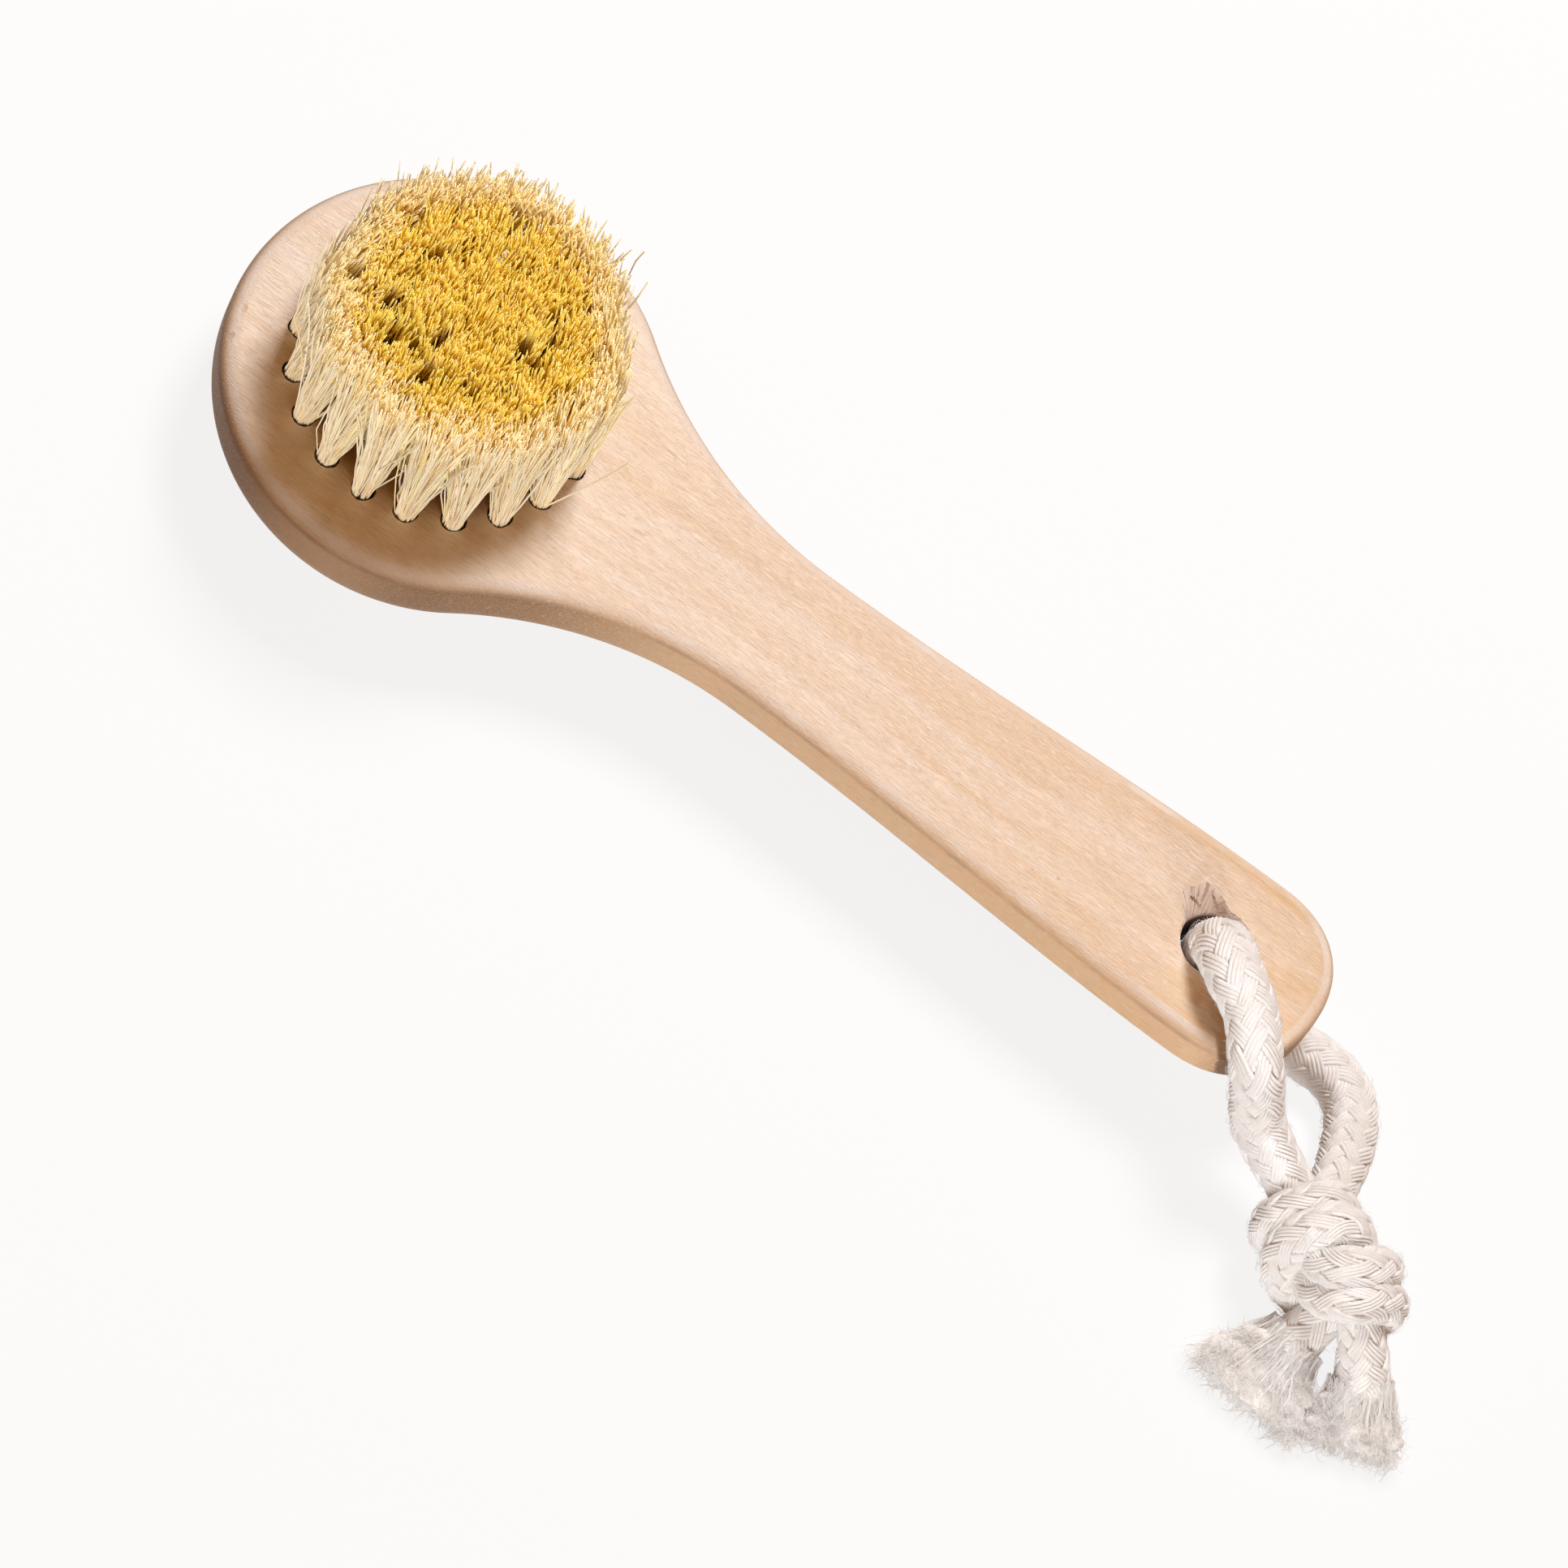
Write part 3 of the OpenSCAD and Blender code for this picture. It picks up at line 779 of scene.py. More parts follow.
@dataclass
class WoodenBody:
    """The one-piece head and handle, with its tuft holes and hanging hole.

    The sizes down to through are those of the CAD solid, under the same names. The steps are those
    of the skin on each stretch of the half outline, over the top edge and under the back.
    """

    overall_l: float = 154.0 * MM
    head_d: float = 54.0 * MM
    head_t: float = 17.2 * MM
    neck_w: float = 19.6 * MM
    neck_from_head: float = 50.0 * MM
    handle_w: float = 24.2 * MM
    handle_t: float = 10.2 * MM
    end_l: float = 12.4 * MM
    end_squareness: float = 2.3
    wall_h: float = 5.6 * MM
    edge_r: float = 2.2 * MM
    sanded: float = 0.6 * MM
    rise_margin: float = 2.0 * MM
    hole_d: float = 8.5 * MM
    hole_from_end: float = 15.0 * MM
    hole_chamfer: float = 0.3 * MM
    tuft_hole_d: float = 3.0 * MM
    tuft_hole_depth: float = 8.0 * MM
    through: float = 1.0 * MM
    mouth_chamfer: float = 0.08 * MM  # chamfer of a tuft hole
    # Points of a tuft hole's mouth: how far out and down in chamfers, and how ragged.
    mouth: tuple[Triple, ...] = ((0.0, 2.0, 0.0), (0.4, 0.6, 0.7), (1.0, 0.0, 1.0))
    mouth_waves: int = 5  # waves that make it ragged
    mouth_ragged: float = 0.022  # their share of the radius
    head_steps: int = 110
    neck_steps: int = 44
    handle_steps: int = 40
    end_steps: int = 64
    edge_steps: int = 12
    back_steps: int = 36
    face_inset: float = 0.15 * MM  # distance from the top edge to the face's last ring
    bore_sides: int = 28
    hole_sides: int = 160
    hole_steps: int = 45
    tear_turn: float = 140.0  # angle of the tear's middle round the hanging hole, in degrees
    tear_span: float = 34.0  # angle over which it eases out on each side, in degrees
    tear_edge: float = 1.25  # distance from its middle where it ends, in those spans
    tear_out: float = 2.7 * MM  # how far it reaches out at the rim
    tear_depth: float = 1.9 * MM  # how far it reaches down
    tear_power: float = 1.2  # how fast it narrows on the way down
    tear_lean: float = 22.0  # how far its ridges lean sideways at its foot, in degrees
    ridges: tuple[int, ...] = (16, 27, 41, 58)  # waves of the ridges in a turn
    ridge_range: Pair = (0.4, 1.0)  # the least and most weight of such a wave
    # Height of the ridges, as shares of the tear and of the hole's radius.
    ridge_shares: Pair = (0.035, 0.022)
    sharp_angle: float = 32.0  # angle from which an edge stays sharp, in degrees
    seed: int = 11

    def __post_init__(self) -> None:
        """Work out the places that follow from the sizes."""
        self.head_x = -self.overall_l / 2 + self.head_d / 2
        self.end_x = self.overall_l / 2
        self.hole_x = self.end_x - self.hole_from_end
        self.head_r = self.head_d / 2
        self.neck_x = self.head_x + self.neck_from_head
        self.cap_x = self.end_x - self.end_l
        self.wall_z = self.head_t - self.wall_h
        self.handle_z = self.head_t - self.handle_t

    def half_outline(self) -> Array:
        """Points of the outline with y >= 0, from the head to the end.

        A round head runs into an arc that touches it from outside, then the width eases out along
        the handle, and a squarish ellipse closes the end.

        Returns:
            Points, shape (n, 2).
        """
        neck_y, handle_y = self.neck_w / 2, self.handle_w / 2
        reach, head_r = self.neck_from_head, self.head_r
        fillet_r = (reach ** 2 + neck_y ** 2 - head_r ** 2) / (2 * (head_r - neck_y))
        fillet_y = neck_y + fillet_r
        touch = np.arctan2(fillet_y, reach)
        a = np.linspace(np.pi, touch, self.head_steps + 1)
        head = np.stack([self.head_x + head_r * np.cos(a), head_r * np.sin(a)], axis=-1)
        x = np.linspace(head[-1, 0], self.neck_x, self.neck_steps + 1)[1:]
        neck = np.stack([x, fillet_y - np.sqrt(fillet_r ** 2 - (x - self.neck_x) ** 2)], axis=-1)
        t = np.linspace(0.0, 1.0, self.handle_steps + 1)[1:]
        handle = np.stack([self.neck_x + (self.cap_x - self.neck_x) * t,
                           neck_y + (handle_y - neck_y) * smooth(t)], axis=-1)
        a = np.linspace(0.0, np.pi / 2, self.end_steps + 1)[1:]
        power = 2 / self.end_squareness
        end = np.stack([self.cap_x + self.end_l * np.sin(a) ** power,
                        handle_y * np.abs(np.cos(a)) ** power], axis=-1)
        half = np.concatenate([head, neck, handle, end])
        half[[0, -1], 1] = 0.0
        return half

    def block(self) -> Surface:
        """The body before it is drilled.

        Rings of the outline are carried from the middle of the flat face over the rounded edge,
        down the wall and under along quarter ellipses to the middle line of the back.

        Returns:
            The closed skin, with doubled points along the middle lines.
        """
        half = self.half_outline()
        outline = np.concatenate([half, half[-2:0:-1] * [1.0, -1.0]])
        step = np.roll(outline, -1, axis=0) - np.roll(outline, 1, axis=0)
        outward = unit(np.stack([-step[:, 1], step[:, 0]], axis=-1))
        spine = np.stack([np.clip(outline[:, 0], self.head_x, self.cap_x), 0 * outline[:, 0]], axis=-1)
        rise_l = self.neck_from_head - 2 * self.rise_margin
        back = -self.sanded + (self.handle_z + self.sanded) * smooth(
            (spine[:, 0] - self.head_x - self.rise_margin) / rise_l)

        def ring(xy: Array, z: Any) -> Array:
            """A ring of points at a height, kept above the resting plane."""
            z = np.broadcast_to(np.maximum(z, 0.0), len(xy))
            return np.concatenate([xy, z[:, None]], axis=-1)

        rings = [ring(spine, self.head_t),
                 ring(outline - outward * (self.edge_r + self.face_inset), self.head_t)]
        for a in np.linspace(0.0, np.pi / 2, self.edge_steps + 1):
            rings.append(ring(outline - outward * self.edge_r * (1 - np.sin(a)),
                              self.head_t - self.edge_r * (1 - np.cos(a))))
        for a in np.linspace(0.0, np.pi / 2, self.back_steps + 1):
            rings.append(ring(spine + (outline - spine) * np.cos(a),
                              self.wall_z - (self.wall_z - back) * np.sin(a)))
        points = np.stack(rings)
        index = np.arange(points.shape[0] * points.shape[1]).reshape(points.shape[:2])
        turned = np.roll(index, -1, axis=1)
        quads = np.stack([index[:-1], index[1:], turned[1:], turned[:-1]], axis=-1).reshape(-1)
        return Surface(points.reshape(-1, 3), quads, 4 * np.arange(quads.size // 4))

    def bore_cutter(self, tufts: Array) -> Surface:
        """Drills for the tuft holes, each with a ragged burnt mouth.

        The radius swells towards the face by a sum of waves round the hole, with random heights
        and starts.

        Args:
            tufts: Centres of the tuft holes, shape (n, 2).

        Returns:
            The drills, all on material 1.
        """
        rng = np.random.default_rng(self.seed)
        out, down, ragged = np.array(self.mouth).T
        radius = self.tuft_hole_d / 2 + self.mouth_chamfer * np.concatenate([[0.0], out, [1.0]])
        height = self.head_t + np.concatenate([
            [-self.tuft_hole_depth], -self.mouth_chamfer * down, [self.through]])
        profile = np.stack([radius, height], axis=-1)
        ragged = np.concatenate([[0.0], ragged, [1.0]])[:, None]
        turn = 2 * np.pi * np.arange(self.bore_sides) / self.bore_sides
        drills = []
        for x, y in tufts:
            waves = sum(rng.normal(0.0, self.mouth_ragged) * np.cos(k * turn + rng.uniform(0, PHASE))
                        for k in range(1, self.mouth_waves + 1))
            drill = revolve(profile, self.bore_sides, ragged * waves[None])
            drill.points[:, :2] += (x, y)
            drill.slots = np.ones(len(drill.starts), int)
            drills.append(drill)
        return join(drills)

    def hole_cutter(self) -> Surface:
        """The drill for the hanging hole, with the place where it tore out the end grain.

        The radius grows towards the upper rim over a span of angles round the tear's middle, by a
        share that is whole at the rim and none at the tear's depth. Ridges that lean sideways as
        they go down make it ragged.

        Returns:
            The drill, on material 2.
        """
        rng = np.random.default_rng(self.seed + 1)
        r, c = self.hole_d / 2, self.hole_chamfer
        low, top = self.handle_z, self.head_t
        inside = np.linspace(low + c, top - c, self.hole_steps)
        z = np.concatenate([[low - self.through, low], inside, [top, top + self.through]])
        rim = np.array([c, c] + [0.0] * len(inside) + [c, c])
        profile = np.stack([r + rim, z], axis=-1)
        turn = np.degrees(2 * np.pi * np.arange(self.hole_sides) / self.hole_sides)
        facing = smooth(self.tear_edge - np.abs(turn - self.tear_turn) / self.tear_span)
        sunk = np.clip((top - z) / self.tear_depth, 0.0, 1.0)[:, None]
        leaned = np.radians(turn[None] + self.tear_lean * sunk)
        ridges = sum(rng.uniform(*self.ridge_range) * np.cos(k * leaned + rng.uniform(0, PHASE))
                     for k in self.ridges)
        of_tear, of_hole = self.ridge_shares
        reach = self.tear_out * (1 - sunk) ** self.tear_power * (1.0 + of_tear * ridges)
        reach = reach + of_hole * r * ridges * (1 - sunk)
        drill = revolve(profile, self.hole_sides, facing[None] * reach / r)
        drill.points[:, 0] += self.hole_x
        drill.slots = np.full(len(drill.starts), 2)
        return drill

    def build(self, tufts: Array) -> bpy.types.Object:
        """Make the drilled body.

        Args:
            tufts: Centres of the tuft holes, shape (n, 2).

        Returns:
            The piece.
        """
        materials = [WoodFinish().make(), ScorchedFinish().make(), EndGrainFinish().make()]
        block = self.block()
        block.slots = np.zeros(len(block.starts), int)
        piece = block.to_object("carved_body", materials)
        weld(piece)
        cutters = join([self.bore_cutter(tufts), self.hole_cutter()]).to_object("drills", materials)
        cut = piece.modifiers.new("drilling", "BOOLEAN")
        cut.operation, cut.solver, cut.object = "DIFFERENCE", "MANIFOLD", cutters
        graph = bpy.context.evaluated_depsgraph_get()
        drilled = bpy.data.meshes.new_from_object(piece.evaluated_get(graph))
        piece.modifiers.clear()
        piece.data = drilled
        bpy.data.objects.remove(cutters)
        drilled.shade_smooth()
        drilled.set_sharp_from_angle(angle=np.radians(self.sharp_angle))
        settle(piece, Body.BRUSH, Slot.WOOD, "wooden_body")
        return piece


def weld(piece: bpy.types.Object) -> None:
    """Merge the doubled points of a piece's mesh and drop the faces that vanish.

    Args:
        piece: The piece.
    """
    bm = bmesh.new()
    bm.from_mesh(piece.data)
    bmesh.ops.remove_doubles(bm, verts=bm.verts, dist=1e-7)
    bmesh.ops.dissolve_degenerate(bm, edges=bm.edges, dist=1e-8)
    bm.to_mesh(piece.data)
    bm.free()
    piece.data.update()


@dataclass(frozen=True)
class Ring:
    """One ring of tufts."""

    name: str  # the ring's name in the node names
    count: int  # tufts in the ring
    hairs: int  # hairs in a tuft
    radius: float  # radius of the roots
    turn: float  # turn of the first tuft, in degrees
    lean: float  # how far the tips lean inwards
    spread: Pair  # half width of a tuft at its tips, outwards and round the head
    gold: float  # how golden its hairs are, from 0 to 1, in the middle of a tuft
    fade: float  # how much paler they are on the tuft's outer side
    depth_shade: float  # how much painted shade browns them between the tufts, from 0 to 1

    def nodes(self) -> list[str]:
        """The CAD nodes of this ring's tufts.

        Returns:
            Their names, from the first tuft on.
        """
        if self.radius == 0.0:
            return [f"tuft_{self.name}"]
        return [f"tuft_{self.name}_{i + 1:02d}" for i in range(self.count)]

    def angles(self) -> Array:
        """Angles of the tufts about the head, in radians."""
        return np.radians(self.turn + 360.0 * np.arange(self.count) / self.count)


@dataclass
class BristleField:
    """The tufts of bristle on the head."""

    body: WoodenBody  # the wood that they stand in
    # The rings of tufts, from the middle out.
    rings: tuple[Ring, ...] = (
        Ring("centre", 1, 230, 0.0, 0.0, 0.0, (3.2 * MM, 3.2 * MM), 0.92, 0.0, 0.6),
        Ring("inner", 7, 230, 6.2 * MM, 10.0, 0.0, (3.2 * MM, 3.2 * MM), 0.92, 0.0, 0.6),
        Ring("middle", 13, 220, 12.2 * MM, 4.0, 0.3 * MM, (3.1 * MM, 3.2 * MM), 0.82, 0.12, 0.5),
        Ring("outer", 20, 160, 18.2 * MM, 1.0, 1.9 * MM, (2.4 * MM, 3.4 * MM), 0.02, 0.12, 0.0),
    )
    height: float = 20.0 * MM  # height of the tips above the face
    hair_r: float = 0.118 * MM  # radius of a hair near its tip
    hair_range: Pair = (0.75, 1.15)  # the least and most share of that radius
    hair_sides: int = 4  # corners of a hair's section
    hair_up: Triple = (0.31, 0.94, 0.07)  # the way that a section's upper corner faces
    root_r: float = 1.25 * MM  # radius of a tuft in its hole
    root_depth: float = 3.0 * MM  # how far below the face the hairs begin
    # Places along a hair where it has a section.
    stops: tuple[float, ...] = (0.0, 0.13, 0.35, 0.57, 0.74, 0.86, 0.975, 1.0)
    # Shares of the radius at those places.
    taper: tuple[float, ...] = (0.80, 0.84, 0.90, 0.96, 1.0, 1.0, 0.92, 0.60)
    tuft_drift: float = 0.5 * MM  # how far the tips of a whole tuft wander
    flare: Pair = (0.9, 1.12)  # the least and most share of its ring's spread that a tuft has
    tip_scatter: float = 0.75 * MM  # how far single tips wander
    stray_share: float = 0.04  # share of the hairs that stray
    stray_reach: float = 2.2 * MM  # how far their tips wander
    stray_drop: float = 5.0 * MM  # how much shorter they are at most
    uneven: float = 1.2 * MM  # how uneven the tips' heights are
    dome: float = 0.4 * MM  # how much lower the tips at a tuft's edge are
    rise_power: Pair = (0.65, 1.6)  # least and most power of the height by which a hair moves sideways
    waver: float = 0.26 * MM  # how far a hair wavers
    wavers: Pair = (1.0, 2.2)  # the least and most half waves along it
    tousle: float = 0.30 * MM  # how far its end bends aside
    tousle_from: float = 0.55  # share of the height from which it does
    # Places, seen from above, where the tips part.
    partings: tuple[Pair, ...] = (
        (-50.6 * MM, -10.4 * MM), (-43.6 * MM, 0.4 * MM), (-59.1 * MM, -5.3 * MM),
        (-51.9 * MM, -5.1 * MM), (-64.3 * MM, -4.8 * MM), (-56.2 * MM, -8.7 * MM))
    parting_r: float = 1.80 * MM  # mean half width of a parting
    parting_range: Pair = (0.85, 1.2)  # the least and most share of that where it meets a hair
    parting_stretch: Pair = (0.72, 1.25)  # how much wider it is along and across the brush
    cream: Colour = (0.995, 0.945, 0.750)  # colour of the palest hairs
    gold: Colour = (0.970, 0.855, 0.175)  # colour of the most golden ones
    tan: Colour = (0.900, 0.620, 0.200)  # colour of the roots and of a few hairs
    brown: Colour = (0.450, 0.180, 0.065)  # colour of the painted shade on the hairs low between the tufts
    cut_end: Colour = (0.995, 0.975, 0.860)  # colour of the cut ends
    gold_scatter: float = 0.20  # how much the gold differs from hair to hair
    gold_rise: float = 0.20  # how much more golden a tip is than its root
    tan_hairs: float = 0.06  # share of the hairs that are tan all along
    tan_share: float = 0.45  # how tan those are
    tan_roots: float = 0.30  # how tan the roots are
    tan_end: float = 0.35  # share of the length where the roots' tan ends
    tan_most: float = 0.8  # the greatest share of tan
    # Shares of the length where the painted shade begins to fade, for hairs in the mass and at a parting.
    depth_shade_from: Pair = (0.40, 0.62)
    depth_shade_fade: float = 0.36  # share of the length over which it fades
    parting_shade: float = 1.5  # how much more painted shade a hair at a parting has
    cut_share: float = 0.2  # how much of the cut end's colour a tip has
    seed: int = 5  # start of the random draws

    def centres(self) -> Array:
        """Centres of all the tuft holes.

        Returns:
            Points, shape (n, 2), from the middle out.
        """
        places = [np.stack([self.body.head_x + r.radius * np.cos(r.angles()),
                            r.radius * np.sin(r.angles())], axis=-1) for r in self.rings]
        return np.concatenate(places)

    def hair_paths(self, ring: Ring, rng: np.random.Generator) -> tuple[Array, Array, Array]:
        """Paths of a ring's hairs.

        A hair starts at a random place in its hole, stands straight while it is in the wood, and
        then moves sideways in step with a random power of its height. Its tip is its root's place
        widened to the tuft's spread, plus a small random shift. It wavers by a slow wave, and its
        end bends aside by the square of the way from where the tousle begins. Hairs near a parting
        are pushed out to its ragged edge, in step with the root of the height.

        Args:
            ring: The ring of tufts.
            rng: The random draws.

        Returns:
            The paths, shape (n, stops, 3), how far out each begins, from -1 to 1 of its hole, and
            whether it stands at a parting.
        """
        n = ring.count * ring.hairs
        angle = np.repeat(ring.angles(), ring.hairs)
        out = np.stack([np.cos(angle), np.sin(angle)], axis=-1)
        round_head = np.stack([-np.sin(angle), np.cos(angle)], axis=-1)
        middle = np.array([self.body.head_x, 0.0]) + ring.radius * out
        share = np.sqrt(rng.uniform(0.0, 1.0, n))
        spin = rng.uniform(0.0, 2 * np.pi, n)
        a, b = share * np.cos(spin), share * np.sin(spin)
        root = a[:, None] * out + b[:, None] * round_head
        drift = np.repeat(rng.normal(0.0, self.tuft_drift, (ring.count, 2)), ring.hairs, axis=0)
        flare = np.repeat(rng.uniform(*self.flare, ring.count), ring.hairs)
        tip = out * (a * ring.spread[0] * flare - ring.lean)[:, None] + drift
        tip = tip + round_head * (b * ring.spread[1] * flare)[:, None]
        tip += rng.normal(0.0, self.tip_scatter, (n, 2))
        stray = rng.uniform(0.0, 1.0, n) < self.stray_share
        tip += stray[:, None] * rng.normal(0.0, self.stray_reach, (n, 2))
        push = np.zeros((n, 2))
        reach = self.parting_r * rng.uniform(*self.parting_range, (n, 1))
        stretch = np.array(self.parting_stretch)
        for parting in self.partings:
            away = (middle + tip + push - np.array(parting)) / stretch
            gap = np.linalg.norm(away, axis=1, keepdims=True)
            push += stretch * unit(away) * np.maximum(reach - gap, 0.0)
        top = self.height - np.abs(rng.normal(0.0, self.uneven, n))
        top = top - stray * rng.uniform(0.0, self.stray_drop, n) - self.dome * share ** 2
        t = np.array(self.stops)
        z = self.body.head_t - self.root_depth + (top + self.root_depth)[:, None] * t
        rise = np.clip((z - self.body.head_t) / top[:, None], 0.0, 1.0)
        ease = rise ** rng.uniform(*self.rise_power, n)[:, None]
        wave = rng.normal(0.0, self.waver, (n, 2))[:, None] * np.sin(
            np.pi * rise * rng.uniform(*self.wavers, n)[:, None])[..., None]
        bent = np.clip((rise - self.tousle_from) / (1 - self.tousle_from), 0.0, 1.0) ** 2
        xy = middle[:, None] + (root * self.root_r)[:, None] * (1 - ease[..., None])
        xy = xy + tip[:, None] * ease[..., None] + push[:, None] * np.sqrt(rise)[..., None] + wave
        xy = xy + rng.normal(0.0, self.tousle, (n, 1, 2)) * bent[..., None]
        return np.concatenate([xy, z[..., None]], axis=-1), a, np.any(push != 0.0, axis=1)

    def hair_tints(self, ring: Ring, outward: Array, parted: Array, rng: np.random.Generator) -> Array:
        """Colours along a ring's hairs.

        A hair is a mix of cream and gold by its ring, by which side of its tuft it is on and by
        chance. It is tan at its root, and a few hairs are tan all along. Where the tufts stand
        close, painted shade browns the lower two thirds of a hair, and at a parting nearly all of it.

        Args:
            ring: The ring of tufts.
            outward: How far out each hair begins, from -1 to 1 of its hole.
            parted: Whether each hair stands at a parting.
            rng: The random draws.

        Returns:
            Colours, shape (n, stops, 3).
        """
        n = len(outward)
        t = np.array(self.stops)[None]
        gold = ring.gold - ring.fade * outward + rng.normal(0.0, self.gold_scatter, n)
        gold = np.clip(gold[:, None] + self.gold_rise * (t - 0.5), 0.0, 1.0)
        all_tan = (rng.uniform(0.0, 1.0, n) < self.tan_hairs)[:, None]
        tanned = all_tan * self.tan_share + self.tan_roots * (1 - smooth(t / self.tan_end))
        # Painted shade: hairs low between the tufts and at the partings are browned.
        in_mass, at_parting = self.depth_shade_from
        fading = (t - np.where(parted, at_parting, in_mass)[:, None]) / self.depth_shade_fade
        depth_shade = np.where(parted, self.parting_shade, 1.0)[:, None] * ring.depth_shade * (1 - smooth(fading))
        cream, golden, tan, brown, cut_end = (
            np.array(c) for c in (self.cream, self.gold, self.tan, self.brown, self.cut_end))
        mixed = cream + (golden - cream) * gold[..., None]
        mixed = mixed + (tan - mixed) * np.clip(tanned, 0.0, self.tan_most)[..., None]
        mixed = mixed + (brown - mixed) * depth_shade[..., None]
        mixed[:, -1] += (cut_end - mixed[:, -1]) * self.cut_share
        return mixed

    def build(self) -> list[bpy.types.Object]:
        """Make one piece of bristle for each ring.

        Returns:
            The pieces, from the middle out.
        """
        material = BristleFinish().make()
        section = circle(self.hair_sides)
        pieces = []
        for k, ring in enumerate(self.rings):
            rng = np.random.default_rng(self.seed + k)
            paths, outward, parted = self.hair_paths(ring, rng)
            thickness = self.hair_r * rng.uniform(*self.hair_range, len(paths))
            radius = thickness[:, None] * np.array(self.taper)
            ups = np.broadcast_to(unit(np.array(self.hair_up)), paths.shape)
            hairs = sweep(paths, ups, radius, radius, section)
            tints = self.hair_tints(ring, outward, parted, rng)
            hairs.tint = np.repeat(tints[:, :, None], len(section), axis=2).reshape(-1, 3)
            piece = hairs.to_object(f"bristles_{ring.name}", [material], smoothed=False)
            settle(piece, Body.BRUSH, Slot.BRISTLE, *ring.nodes())
            pieces.append(piece)
        return pieces


